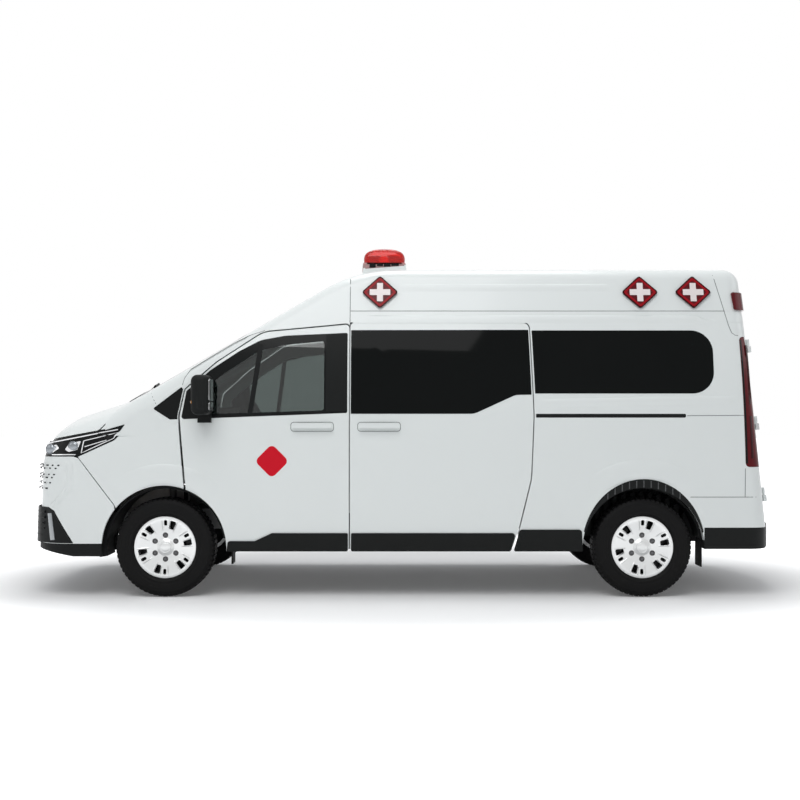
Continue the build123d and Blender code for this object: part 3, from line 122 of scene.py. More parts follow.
@dataclass(frozen=True)
class Finish:
    """One surface finish, from a tone that drifts, a grain and a layer of road dust."""

    name: str
    colour: Colour
    drift: Colour
    roughness: float = 0.4
    rough_drift: float = 0.06
    metallic: float = 0.0
    coat: float = 0.0
    tone_scale: float = 2.0
    grain_scale: float = 0.0
    grain_depth: float = 0.0
    transmission: float = 0.0
    specular: float = 0.5
    dust: float = 0.0
    dust_top: float = 0.9
    slot: str = "body_white"

    def make(self) -> bpy.types.Material:
        """Material with the finish's nodes.

        Returns:
            The material, built once and found by name later.
        """
        title = f"look_{self.name}"
        known = bpy.data.materials.get(title)
        if known:
            return known
        material = bpy.data.materials.new(title)
        material.use_nodes = True
        nodes, links = material.node_tree.nodes, material.node_tree.links
        shader = nodes["Principled BSDF"]
        shader.inputs["Metallic"].default_value = self.metallic
        shader.inputs["Coat Weight"].default_value = self.coat
        shader.inputs["Coat Roughness"].default_value = 0.06
        shader.inputs["Transmission Weight"].default_value = self.transmission
        shader.inputs["Specular IOR Level"].default_value = self.specular
        place = nodes.new("ShaderNodeTexCoord")
        tone = nodes.new("ShaderNodeTexNoise")
        tone.inputs["Scale"].default_value = self.tone_scale
        tone.inputs["Detail"].default_value = 4.0
        links.new(place.outputs["Object"], tone.inputs["Vector"])
        mix = nodes.new("ShaderNodeMix")
        mix.data_type = "RGBA"
        mix.inputs["A"].default_value = (*self.colour, 1)
        mix.inputs["B"].default_value = (*self.drift, 1)
        links.new(tone.outputs["Fac"], mix.inputs["Factor"])
        colour_from = mix.outputs["Result"]
        if self.dust:
            colour_from = self.lay_dust(nodes, links, place, colour_from)
        links.new(colour_from, shader.inputs["Base Color"])
        gloss = nodes.new("ShaderNodeMapRange")
        gloss.inputs["To Min"].default_value = max(0.0, self.roughness - self.rough_drift)
        gloss.inputs["To Max"].default_value = self.roughness + self.rough_drift
        links.new(tone.outputs["Fac"], gloss.inputs["Value"])
        links.new(gloss.outputs["Result"], shader.inputs["Roughness"])
        if self.grain_scale:
            grain = nodes.new("ShaderNodeTexNoise")
            grain.inputs["Scale"].default_value = self.grain_scale
            grain.inputs["Detail"].default_value = 3.0
            links.new(place.outputs["Object"], grain.inputs["Vector"])
            bump = nodes.new("ShaderNodeBump")
            bump.inputs["Strength"].default_value = 0.35
            bump.inputs["Distance"].default_value = self.grain_depth
            links.new(grain.outputs["Fac"], bump.inputs["Height"])
            links.new(bump.outputs["Normal"], shader.inputs["Normal"])
        return material

    def lay_dust(self, nodes: bpy.types.Nodes, links: bpy.types.NodeLinks, place: bpy.types.Node,
                 below: bpy.types.NodeSocket) -> bpy.types.NodeSocket:
        """Road dust that thins out with height.

        Args:
            nodes: Nodes of the material.
            links: Links of the material.
            place: Texture coordinate node.
            below: Colour under the dust.

        Returns:
            Socket with the dusted colour.
        """
        split = nodes.new("ShaderNodeSeparateXYZ")
        links.new(place.outputs["Object"], split.inputs["Vector"])
        height = nodes.new("ShaderNodeMapRange")
        height.inputs["From Min"].default_value = self.dust_top
        height.inputs["From Max"].default_value = 0.2
        height.inputs["To Max"].default_value = self.dust
        links.new(split.outputs["Z"], height.inputs["Value"])
        spots = nodes.new("ShaderNodeTexNoise")
        spots.inputs["Scale"].default_value = 9.0
        spots.inputs["Detail"].default_value = 6.0
        links.new(place.outputs["Object"], spots.inputs["Vector"])
        amount = nodes.new("ShaderNodeMath")
        amount.operation = "MULTIPLY"
        links.new(height.outputs["Result"], amount.inputs[0])
        links.new(spots.outputs["Fac"], amount.inputs[1])
        dusted = nodes.new("ShaderNodeMix")
        dusted.data_type = "RGBA"
        dusted.inputs["B"].default_value = (0.42, 0.40, 0.36, 1)
        links.new(amount.outputs["Value"], dusted.inputs["Factor"])
        links.new(below, dusted.inputs["A"])
        return dusted.outputs["Result"]


PAINT = Finish("body_paint", (0.79, 0.825, 0.815), (0.785, 0.82, 0.81), 0.28, 0.01, coat=0.2, specular=0.4,
               dust=0.03)
GLOSS_BLACK = Finish("gloss_black", (0.006, 0.007, 0.007), (0.009, 0.010, 0.010), 0.14, 0.04, specular=0.10,
                     slot="black_trim")
TRIM = Finish("moulded_trim", (0.007, 0.008, 0.008), (0.011, 0.012, 0.012), 0.52, 0.06, grain_scale=900.0,
              grain_depth=0.0006, dust=0.012, dust_top=0.6, specular=0.10, slot="black_trim")
SATIN_BLACK = Finish("satin_black", (0.006, 0.007, 0.007), (0.010, 0.011, 0.011), 0.42, 0.05, specular=0.10,
                     grain_scale=700.0,
                     grain_depth=0.0003, slot="black_trim")
# Dark joint colour of the panel gaps; the same finish paints lines of shade round the door handles.
SEAM_AND_SHADE_DARK = Finish("panel_gap_and_handle_shade", (0.16, 0.17, 0.17), (0.12, 0.13, 0.13), 0.7, slot="black_trim")
PRIVACY = Finish("privacy_glass", (0.002, 0.003, 0.003), (0.004, 0.005, 0.005), 0.05, 0.02, specular=0.07,
                 slot="dark_glass")
CLEAR = Finish("tinted_glass", (0.25, 0.29, 0.28), (0.23, 0.27, 0.26), 0.02, 0.01, transmission=1.0,
               slot="clear_glass")
LENS_RED = Finish("red_lens", (0.150, 0.003, 0.008), (0.070, 0.002, 0.005), 0.10, 0.04, tone_scale=14.0,
                  specular=0.15,
                  slot="red_lens")
CROSS_RED = Finish("cross_lamp_red", (0.40, 0.003, 0.010), (0.26, 0.002, 0.007), 0.12, 0.04, tone_scale=30.0,
                   specular=0.12,
                   slot="red_lens")
LENS_DEEP = Finish("deep_red", (0.050, 0.001, 0.003), (0.026, 0.001, 0.002), 0.16, 0.05, tone_scale=20.0,
                   specular=0.12,
                   slot="red_lens")
WHITE_LENS = Finish("white_lens", (0.86, 0.80, 0.79), (0.80, 0.72, 0.71), 0.3, 0.04, slot="clear_lens")
CHROME = Finish("bright_reflector", (0.85, 0.86, 0.87), (0.70, 0.71, 0.73), 0.10, 0.05, metallic=1.0,
                slot="clear_lens")
SILVER = Finish("wheel_silver", (0.74, 0.75, 0.75), (0.66, 0.67, 0.67), 0.30, 0.06, metallic=0.7,
                grain_scale=1400.0,
                grain_depth=0.0002, dust=0.06, dust_top=0.75, slot="wheel_silver")
RUBBER = Finish("tyre_rubber", (0.0035, 0.0035, 0.004), (0.007, 0.007, 0.007), 0.58, 0.08, tone_scale=10.0,
                grain_scale=600.0, grain_depth=0.0008, dust=0.008, dust_top=0.7, specular=0.10,
                slot="tyre_rubber")
NUT = Finish("wheel_nut", (0.13, 0.13, 0.135), (0.09, 0.09, 0.095), 0.36, 0.06, metallic=0.7, tone_scale=40.0,
             slot="wheel_silver")
PROJECTOR = Finish("lamp_projector", (0.30, 0.32, 0.34), (0.22, 0.24, 0.26), 0.08, 0.03, metallic=0.6,
                   slot="clear_lens")
DAY_LAMP = Finish("day_lamp", (0.36, 0.38, 0.39), (0.28, 0.30, 0.31), 0.20, 0.05, metallic=0.3,
                  slot="clear_lens")
TURN_LAMP = Finish("turn_lamp", (0.55, 0.22, 0.02), (0.48, 0.18, 0.02), 0.15, 0.04, coat=0.5,
                   slot="clear_lens")
SIGN_RED = Finish("sign_red", (0.66, 0.006, 0.020), (0.60, 0.005, 0.018), 0.45, 0.05, specular=0.15,
                  slot="red_lens")
BEACON_RED = Finish("beacon_red", (0.90, 0.012, 0.004), (0.76, 0.006, 0.003), 0.07, 0.03, tone_scale=16.0,
                    specular=0.2,
                    transmission=0.55, slot="red_lens")
SKIRT_RED = Finish("beacon_skirt", (0.92, 0.62, 0.60), (0.86, 0.52, 0.50), 0.14, 0.05, transmission=0.6,
                   tone_scale=14.0,
                   slot="red_lens")
STEEL = Finish("forged_steel", (0.16, 0.16, 0.165), (0.24, 0.22, 0.20), 0.5, 0.1, metallic=0.8,
               tone_scale=12.0,
               grain_scale=300.0, grain_depth=0.0008, slot="forged_steel")
CHASSIS = Finish("chassis_black", (0.020, 0.020, 0.021), (0.045, 0.042, 0.038), 0.6, 0.1, tone_scale=8.0,
                 grain_scale=260.0, grain_depth=0.0008, dust=0.35, slot="chassis_black")
CAB_PLASTIC = Finish("cab_plastic", (0.055, 0.058, 0.060), (0.070, 0.072, 0.074), 0.6, 0.06,
                     grain_scale=1100.0,
                     grain_depth=0.0005, slot="cab_plastic")
CLOTH = Finish("seat_cloth", (0.060, 0.065, 0.075), (0.085, 0.090, 0.100), 0.9, 0.05, tone_scale=30.0,
               grain_scale=1800.0, grain_depth=0.0015, slot="seat_cloth")
FLOOR_GREY = Finish("floor_lining", (0.20, 0.21, 0.21), (0.26, 0.26, 0.26), 0.6, 0.08, grain_scale=400.0,
                    grain_depth=0.0005, slot="floor_grey")


class Surface:
    """Outer skin of the body, for laying trim on it."""

    def __init__(self, nodes: list[str]) -> None:
        """Collects the skins.

        Args:
            nodes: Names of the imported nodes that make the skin.
        """
        points: list[Vector] = []
        faces: list[list[int]] = []
        for name in nodes:
            mesh = frame["nodes"][name].data
            base = len(points)
            points += [vertex.co.copy() for vertex in mesh.vertices]
            faces += [[base + i for i in polygon.vertices] for polygon in mesh.polygons]
        self.tree = BVHTree.FromPolygons(points, faces)

    def at(self, view: View, a: float, b: float) -> Vector:
        """Point of the skin seen at an outline's point.

        Args:
            view: Side that the outline is seen from.
            a: First coordinate.
            b: Second coordinate.

        Returns:
            The point on the skin.
        """
        start, heading = view.ray(a, b)
        depths = []
        for da, db in ((0, 0), (BRIDGE, 0), (-BRIDGE, 0), (0, BRIDGE), (0, -BRIDGE)):
            depth = self.tree.ray_cast(view.ray(a + da, b + db)[0], heading)[3]
            depths.append(MISS_DEPTH if depth is None else depth)
        shallow = min(depths)
        depth = shallow if depths[0] > shallow + GAP_DEPTH else depths[0]
        return start + heading * depth

    def round_nose(self, x: float, z: float) -> float:
        """Way round the nose at which the skin has a given x.

        Args:
            x: Place along the vehicle.
            z: Height.

        Returns:
            First coordinate for the nose view, on the left side.
        """
        low, high = 0.0, NOSE_TURN_R * radians(95)
        for _ in range(30):
            middle = (low + high) / 2
            if self.at(View.NOSE, middle, z).x > x:
                low = middle
            else:
                high = middle
        return low


class Flank(Surface):
    """Side of the body as one unbroken skin, without its doors' gaps and glass beds."""

    def __init__(self, nodes: list[str], sample_x: float = 0.350, low: float = 0.30,
                 high: float = 2.02) -> None:
        """Reads the section of the side at one place.

        Args:
            nodes: Names of the nodes that make the skin.
            sample_x: Place along the vehicle where the panel is unbroken.
            low: Lowest height that is read.
            high: Highest height that is read.
        """
        super().__init__(nodes)
        self.low, self.step = low, 0.01
        count = int((high - low) / self.step) + 1
        self.section = [super(Flank, self).at(View.LEFT, sample_x, low + k * self.step).y
                        for k in range(count)]

    def at(self, view: View, a: float, b: float) -> Vector:
        """Point of the unbroken side, found from its section."""
        place = min(max((b - self.low) / self.step, 0.0), len(self.section) - 1.001)
        k = int(place)
        y = self.section[k] + (self.section[k + 1] - self.section[k]) * (place - k)
        return Vector((a, y if view is View.LEFT else -y, b))


def rounded(rows: list[Corner], steps: int = 6) -> list[Point2]:
    """Closed outline with rounded corners.

    Args:
        rows: Corners as first coordinate, second coordinate and radius.
        steps: Parts that each corner's arc has.

    Returns:
        Points of the outline.
    """
    points: list[Point2] = []
    count = len(rows)
    for i, (a, b, radius) in enumerate(rows):
        corner = Vector((a, b))
        if radius <= 0:
            points.append((a, b))
            continue
        back = Vector(rows[i - 1][:2]) - corner
        ahead = Vector(rows[(i + 1) % count][:2]) - corner
        half = back.angle(ahead) / 2
        run = min(radius / tan(half), 0.48 * back.length, 0.48 * ahead.length)
        radius = run * tan(half)
        centre = corner + (back.normalized() + ahead.normalized()).normalized() * (radius / sin(half))
        first = corner + back.normalized() * run - centre
        last = corner + ahead.normalized() * run - centre
        start = atan2(first.y, first.x)
        turn = (atan2(last.y, last.x) - start + pi) % (2 * pi) - pi
        for k in range(steps + 1):
            angle = start + turn * k / steps
            points.append((centre.x + radius * cos(angle), centre.y + radius * sin(angle)))
    return points


def arc(centre: Point2, radius: float, start: float, end: float, steps: int = 40) -> list[Point2]:
    """Points along an arc.

    Args:
        centre: Centre of the arc.
        radius: Radius in metres.
        start: First angle in degrees.
        end: Last angle in degrees.
        steps: Parts of the arc.

    Returns:
        The points.
    """
    angles = [radians(start + (end - start) * k / steps) for k in range(steps + 1)]
    return [(centre[0] + radius * cos(angle), centre[1] + radius * sin(angle)) for angle in angles]


def divided(path: list[Point2], step: float) -> list[Point2]:
    """Path with points added so that no run is longer than a step."""
    points = [path[0]]
    for first, last in zip(path, path[1:]):
        run = Vector(last) - Vector(first)
        parts = max(1, round(run.length / step))
        points += [(first[0] + run.x * k / parts, first[1] + run.y * k / parts) for k in range(1, parts + 1)]
    return points


def soften(mesh: bpy.types.Mesh, angle: float = 32.0) -> None:
    """Shades a mesh smooth, with edges sharper than an angle kept."""
    build = bmesh.new()
    build.from_mesh(mesh)
    for face in build.faces:
        face.smooth = True
    limit = radians(angle)
    for edge in build.edges:
        edge.smooth = len(edge.link_faces) == 2 and edge.calc_face_angle(0.0) < limit
    build.to_mesh(mesh)
    build.free()


def add_piece(name: str, build: bmesh.types.BMesh, finish: Finish, body: str, angle: float = 32.0,
              outward: bool = True) -> bpy.types.Object:
    """Turns a built mesh into a piece that rides on a body.

    Args:
        name: Name of the piece.
        build: The mesh, freed here.
        finish: Its finish.
        body: Body that it moves with.
        angle: Edges sharper than this many degrees stay sharp.
        outward: Whether the faces are turned outwards first.

    Returns:
        The new object.
    """
    if outward:
        bmesh.ops.recalc_face_normals(build, faces=build.faces)
    mesh = bpy.data.meshes.new(name)
    build.to_mesh(mesh)
    build.free()
    soften(mesh, angle)
    piece = bpy.data.objects.new(name, mesh)
    bpy.context.scene.collection.objects.link(piece)
    mesh.materials.append(finish.make())
    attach(piece, body)
    log.info("piece %s on %s: %d faces", name, body, len(mesh.polygons))
    return piece


def sweep(build: bmesh.types.BMesh, rings: list[list[Vector]], closed: bool = False) -> None:
    """Skins a row of equal rings into a closed tube.

    Args:
        build: Mesh that takes the faces.
        rings: Rings of points, each ring closed.
        closed: Whether the last ring joins the first.
    """
    rows = [[build.verts.new(point) for point in ring] for ring in rings]
    count = len(rows[0])
    pairs = list(zip(rows, rows[1:])) + ([(rows[-1], rows[0])] if closed else [])
    for first, last in pairs:
        for k in range(count):
            n = (k + 1) % count
            build.faces.new((first[k], first[n], last[n], last[k]))
    if not closed:
        build.faces.new(rows[0])
        build.faces.new(rows[-1])


def ribbon(build: bmesh.types.BMesh, skin: Surface, view: View, path: list[Point2], profile: list[Point2],
           closed: bool = False, fade: float = 0.0) -> None:
    """Lays a closed strip along a path on the body.

    Args:
        build: Mesh that takes the strip.
        skin: Body surface.
        view: Side that the path is seen from.
        path: Points of the path.
        profile: Closed section as distance across the path and height over the skin.
        closed: Whether the path runs round.
        fade: Share of the path over which each end sinks into the skin.
    """
    rings = []
    count = len(path)
    for i, point in enumerate(path):
        back = path[i - 1] if closed or i else path[i]
        ahead = path[(i + 1) % count] if closed or i < count - 1 else path[i]
        along = (Vector(ahead) - Vector(back)).normalized()
        across = Vector((-along.y, along.x))
        lift = -view.ray(*point)[1]
        share = min(i, count - 1 - i) / max(count - 1, 1)
        ease = min(1.0, share / fade) if fade else 1.0
        ease = ease * ease * (3 - 2 * ease)
        ring = []
        for width, height in profile:
            spot = Vector(point) + across * width
            rise = height * ease - END_SINK * (1 - ease) if height > 0 else height
            ring.append(skin.at(view, spot.x, spot.y) + lift * rise)
        rings.append(ring)
    sweep(build, rings, closed)


def band(width: float, height: float, sunk: float = 0.002) -> list[Point2]:
    """Section of a flat strip with eased edges."""
    half, ease = width / 2, min(height, width / 4)
    return [(-half, -sunk), (-half, height - ease), (-half + ease, height), (half - ease, height),
            (half, height - ease),
            (half, -sunk)]


def swell(width: float, height: float, lean: float = 0.5, sunk: float = 0.003) -> list[Point2]:
    """Section of a soft ridge whose crest lies at a share of its width."""
    rows = [(0.0, -sunk), (0.0, 0.0), (lean * 0.5, height * 0.5), (lean, height),
            ((1 + lean) / 2, height * 0.45), (1.0, 0.0),
            (1.0, -sunk)]
    return [((share - 0.5) * width, lift) for share, lift in rows]


def patch(build: bmesh.types.BMesh, skin: Surface, view: View, outline: list[Point2], height: float,
          step: float = 0.05,
          sunk: float = 0.002, hole: list[Point2] | None = None) -> None:
    """Lays a closed plate with a given outline on the body.

    Args:
        build: Mesh that takes the plate.
        skin: Body surface.
        view: Side that the outline is seen from.
        outline: Points of the outline.
        height: Height of its face over the skin.
        step: Size of its cells.
        sunk: Depth of its back under the skin.
        hole: Points of a hole through it.
    """
    flat = bmesh.new()
    loops = []
    for loop in [outline] + ([hole] if hole else []):
        ring = [flat.verts.new((a, b, 0)) for a, b in loop]
        loops += [flat.edges.new((ring[k - 1], ring[k])) for k in range(len(ring))]
    bmesh.ops.triangle_fill(flat, use_beauty=True, use_dissolve=False, edges=loops, normal=(0, 0, 1))
    for axis in (0, 1):
        low = min(point[axis] for point in outline)
        high = max(point[axis] for point in outline)
        for k in range(1, int((high - low) / step) + 1):
            at, normal = Vector((0, 0, 0)), Vector((0, 0, 0))
            at[axis], normal[axis] = low + k * step, 1
            bmesh.ops.bisect_plane(flat, geom=flat.verts[:] + flat.edges[:] + flat.faces[:], plane_co=at,
                                   plane_no=normal,
                                   dist=1e-6)
    bmesh.ops.remove_doubles(flat, verts=flat.verts, dist=2e-4)
    face_of, back_of = {}, {}
    for vertex in flat.verts:
        lift = -view.ray(vertex.co.x, vertex.co.y)[1]
        spot = skin.at(view, vertex.co.x, vertex.co.y)
        face_of[vertex] = build.verts.new(spot + lift * height)
        back_of[vertex] = build.verts.new(spot - lift * sunk)
    for face in flat.faces:
        build.faces.new([face_of[vertex] for vertex in face.verts])
        build.faces.new([back_of[vertex] for vertex in reversed(face.verts)])
    for edge in flat.edges:
        if len(edge.link_faces) == 1:
            first, last = edge.verts
            build.faces.new((face_of[first], face_of[last], back_of[last], back_of[first]))
    flat.free()


def clip(build: bmesh.types.BMesh, at: Vector, normal: Vector) -> None:
    """Cuts a mesh at a plane, drops the part that the normal points to and closes the cut."""
    geometry = build.verts[:] + build.edges[:] + build.faces[:]
    cut = bmesh.ops.bisect_plane(build, geom=geometry, plane_co=at, plane_no=normal, clear_outer=True,
                                 dist=1e-6)
    edges = [item for item in cut["geom_cut"] if isinstance(item, bmesh.types.BMEdge)]
    bmesh.ops.holes_fill(build, edges=edges, sides=0)


def lathe(build: bmesh.types.BMesh, profile: list[Point2], centre: Vector, steps: int = 96) -> None:
    """Turns a closed section round the wheel axis.

    Args:
        build: Mesh that takes the faces.
        profile: Section as radius and place along the axis.
        centre: Centre of the wheel.
        steps: Parts of a full turn.
    """
    rings = []
    for k in range(steps):
        angle = 2 * pi * k / steps
        rings.append([centre + Vector((r * cos(angle), y, r * sin(angle))) for r, y in profile])
    sweep(build, rings, closed=True)


def block(build: bmesh.types.BMesh, low: Vector, high: Vector, turn: Matrix | None = None) -> None:
    """Adds a closed block between two corners, turned by a matrix if there is one."""
    spots = [Vector((x, y, z)) for z in (low[2], high[2]) for y in (low[1], high[1])
             for x in (low[0], high[0])]
    corners = [build.verts.new(turn @ spot if turn else spot) for spot in spots]
    for row in ((0, 2, 3, 1), (4, 5, 7, 6), (0, 1, 5, 4), (2, 6, 7, 3), (0, 4, 6, 2), (1, 3, 7, 5)):
        build.faces.new([corners[i] for i in row])


def tube(build: bmesh.types.BMesh, path: list[Vector], radius: float, sides: int = 12) -> None:
    """Adds a closed round bar along a path.

    Args:
        build: Mesh that takes the bar.
        path: Points of its centre line.
        radius: Radius of the bar.
        sides: Sides of its section.
    """
    rings = []
    for i, point in enumerate(path):
        along = (path[min(i + 1, len(path) - 1)] - path[max(i - 1, 0)]).normalized()
        side = along.orthogonal().normalized() if i == 0 else (side - along * side.dot(along)).normalized()
        up = along.cross(side)
        rings.append([point + side * radius * cos(2 * pi * k / sides) + up * radius * sin(2 * pi * k / sides)
                      for k in range(sides)])
    sweep(build, rings)


def seen_rays(nodes: bpy.types.Nodes, links: bpy.types.NodeLinks) -> bpy.types.NodeSocket:
    """Socket that is 1 for rays of the camera and rays by way of metal or glass."""
    path = nodes.new("ShaderNodeLightPath")
    known = path.outputs["Is Camera Ray"]
    for name in ("Is Glossy Ray", "Is Transmission Ray"):
        either = nodes.new("ShaderNodeMath")
        either.operation = "MAXIMUM"
        links.new(known, either.inputs[0])
        links.new(path.outputs[name], either.inputs[1])
        known = either.outputs["Value"]
    return known


@dataclass
class Stage:
    """Pale floor, soft light and the camera of the photograph."""

    eye: Vector = field(default_factory=lambda: Vector((0.021, 9.763, 1.258)))
    focal_px: float = 1274.0
    frame_px: float = 800.0
    drop_px: float = 15.0
    sensor_mm: float = 36.0
    room_light: float = 0.38
    room_colour: Colour = (0.93, 0.96, 1.0)
    floor_half: float = 60.0
    floor_glow: float = 0.08
    pool: Point2 = (3.3, 2.4)

    def build(self) -> None:
        """Builds floor, light and camera."""
        scene = bpy.context.scene
        scene.view_settings.view_transform = "Standard"
        self.floor()
        self.sky()
        # Columns: name, place, target, size, power
        lamps = (
            ("key", (1.5, 6.8, 8.0), (0.0, 0.0, 0.9), 6.0, 360.0),
            ("above", (0.0, -1.6, 9.0), (0.0, 0.4, 0.0), 5.0, 240.0),
            ("front", (8.0, 2.5, 4.0), (0.5, 0.0, 1.0), 4.0, 35.0),
            ("rear", (-8.0, 1.0, 5.0), (-1.0, 0.0, 1.0), 4.0, 60.0),
        )
        for name, place, target, size, power in lamps:
            light = bpy.data.lights.new(name, "AREA")
            light.size, light.energy = size, power
            lamp = bpy.data.objects.new(name, light)
            lamp.location = place
            lamp.rotation_euler = (Vector(target) - Vector(place)).to_track_quat("-Z", "Y").to_euler()
            scene.collection.objects.link(lamp)
        data = bpy.data.cameras.new("side_camera")
        data.sensor_width = self.sensor_mm
        data.lens = self.focal_px / self.frame_px * self.sensor_mm
        data.shift_y = self.drop_px / self.frame_px
        data.clip_end = 300.0
        camera = bpy.data.objects.new("side_camera", data)
        camera.location = self.eye
        camera.rotation_euler = (radians(90), 0, radians(180))
        scene.collection.objects.link(camera)
        scene.camera = camera

    def floor(self) -> None:
        """Lays the pale floor."""
        mesh = bpy.data.meshes.new("floor")
        half = self.floor_half
        mesh.from_pydata([(-half, -half, 0), (half, -half, 0), (half, half, 0), (-half, half, 0)], [],
                         [(0, 1, 2, 3)])
        plane = bpy.data.objects.new("floor", mesh)
        bpy.context.scene.collection.objects.link(plane)
        material = bpy.data.materials.new("pale_floor")
        material.use_nodes = True
        nodes, links = material.node_tree.nodes, material.node_tree.links
        shader = nodes["Principled BSDF"]
        shader.inputs["Base Color"].default_value = (0.93, 0.93, 0.93, 1)
        shader.inputs["Roughness"].default_value = 0.9
        shader.inputs["Specular IOR Level"].default_value = 0.1
        shader.inputs["Emission Color"].default_value = (1, 1, 1, 1)
        place = nodes.new("ShaderNodeTexCoord")
        shape = nodes.new("ShaderNodeMapping")
        shape.inputs["Scale"].default_value = (1 / self.pool[0], 1 / self.pool[1], 1)
        reach = nodes.new("ShaderNodeVectorMath")
        reach.operation = "LENGTH"
        rise = nodes.new("ShaderNodeMapRange")
        rise.interpolation_type = "SMOOTHSTEP"
        rise.inputs["From Min"].default_value = 0.75
        rise.inputs["From Max"].default_value = 1.5
        rise.inputs["To Min"].default_value = self.floor_glow
        rise.inputs["To Max"].default_value = 1.0
        glow = nodes.new("ShaderNodeMath")
        glow.operation = "MULTIPLY"
        links.new(place.outputs["Object"], shape.inputs["Vector"])
        links.new(shape.outputs["Vector"], reach.inputs[0])
        links.new(reach.outputs["Value"], rise.inputs["Value"])
        links.new(seen_rays(nodes, links), glow.inputs[0])
        links.new(rise.outputs["Result"], glow.inputs[1])
        links.new(glow.outputs["Value"], shader.inputs["Emission Strength"])
        mesh.materials.append(material)

    def sky(self) -> None:
        """Lights the scene from a plain white room."""
        world = bpy.data.worlds.new("room")
        bpy.context.scene.world = world
        world.use_nodes = True
        nodes, links = world.node_tree.nodes, world.node_tree.links
        room = nodes["Background"]
        room.inputs["Color"].default_value = (*self.room_colour, 1)
        room.inputs["Strength"].default_value = self.room_light
        seen = nodes.new("ShaderNodeBackground")
        seen.inputs["Color"].default_value = (1, 1, 1, 1)
        mix = nodes.new("ShaderNodeMixShader")
        links.new(seen_rays(nodes, links), mix.inputs["Fac"])
        links.new(room.outputs["Background"], mix.inputs[1])
        links.new(seen.outputs["Background"], mix.inputs[2])
        links.new(mix.outputs["Shader"], nodes["World Output"].inputs["Surface"])


@dataclass
class Panels:
    """Body panels and fixed pieces, each a smoothed copy of its node."""

    edge: float = 0.0025
    finishes: dict[str, Finish] = field(default_factory=lambda: {
        "roof_panel": PAINT, "cant_rails": PAINT, "quarter_panels": PAINT, "sliding_doors": PAINT,
        "windscreen_frame": PAINT, "rear_door_left": PAINT, "rear_door_right": PAINT,
        "front_door_left": PAINT, "front_door_right": PAINT, "bonnet": PAINT, "front_fenders": PAINT,
        "front_bumper": PAINT, "light_bar_base": PAINT, "pillars": PAINT, "side_windows": PRIVACY,
        "rear_window_left": PRIVACY, "rear_window_right": PRIVACY, "windscreen": CLEAR,
        "front_window_left": CLEAR, "front_window_right": CLEAR, "side_trims": TRIM,
        "door_cladding_left": TRIM, "door_cladding_right": TRIM, "mirror_left": TRIM,
        "mirror_right": TRIM, "rear_bumper": TRIM, "mud_flaps": RUBBER, "wheel_liners": TRIM,
        "tail_lamps": LENS_RED, "headlamps": GLOSS_BLACK, "cross_lamps": LENS_DEEP,
        "floor_pan": FLOOR_GREY, "firewall": CHASSIS, "front_suspension": CHASSIS, "rear_axle": CHASSIS,
        "leaf_springs": CHASSIS, "fuel_tank": CHASSIS, "spare_wheel": RUBBER, "exhaust": STEEL,
        "engine_block": STEEL, "knuckle_left": STEEL, "knuckle_right": STEEL, "dashboard": CAB_PLASTIC,
        "steering_wheel": CAB_PLASTIC, "partition": CAB_PLASTIC, "rim_front_left": SILVER,
        "rim_front_right": SILVER, "rim_rear_left": SILVER, "rim_rear_right": SILVER,
    })
    rounded_nodes: tuple[str, ...] = (
        "roof_panel", "cant_rails", "quarter_panels", "sliding_doors", "windscreen_frame", "rear_door_left",
        "rear_door_right", "front_door_left", "front_door_right", "bonnet", "front_fenders", "front_bumper",
        "rear_bumper", "dashboard", "side_trims", "light_bar_base", "rim_front_left", "rim_front_right",
        "rim_rear_left", "rim_rear_right",
    )

    def build(self) -> None:
        """Dresses every node, with a smoothed copy that stands for it."""
        for name, finish in self.finishes.items():
            self.copy(name, finish)

    def copy(self, name: str, finish: Finish) -> None:
        """Replaces a node by a merged copy with smooth shading.

        Args:
            name: Node that is copied.
            finish: Finish of the copy.
        """
        node = frame["nodes"][name]
        build = bmesh.new()
        build.from_mesh(node.data)
        bmesh.ops.remove_doubles(build, verts=build.verts, dist=MERGE)
        piece = add_piece(f"{name}_skin", build, finish, node["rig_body"], outward=False)
        if name in self.rounded_nodes:
            ease = piece.modifiers.new("eased_edges", "BEVEL")
            ease.width, ease.segments = self.edge, 2
            ease.limit_method, ease.angle_limit = "ANGLE", radians(40)
            ease.harden_normals = True
        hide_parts(name)


SKIN_NODES = [
    "roof_panel", "cant_rails", "quarter_panels", "sliding_doors", "windscreen_frame",
    "front_door_left", "front_door_right", "bonnet", "front_fenders", "front_bumper", "headlamps",
    "tail_lamps", "rear_door_left", "rear_door_right", "windscreen", "front_window_left",
    "front_window_right", "side_windows", "rear_window_left", "rear_window_right", "front_valance",
]


def scaled(rows: list[Corner], centre: Point2, share: float) -> list[Corner]:
    """Outline drawn in towards a centre."""
    return [(centre[0] + (a - centre[0]) * share, centre[1] + (b - centre[1]) * share, radius * share)
            for a, b, radius in rows]


def cross(centre: Point2, reach: float, rise: float, arm: float) -> list[Corner]:
    """Outline of an upright cross.

    Args:
        centre: Middle of the cross.
        reach: Half its width.
        rise: Half its height.
        arm: Half the width of its arms.

    Returns:
        Corners of the outline.
    """
    quarter = ((arm, rise), (arm, arm), (reach, arm))
    turns = ((1, 1, quarter), (1, -1, quarter[::-1]), (-1, -1, quarter), (-1, 1, quarter[::-1]))
    return [(centre[0] + u * a, centre[1] + v * b, 0.003) for u, v, part in turns for a, b in part]


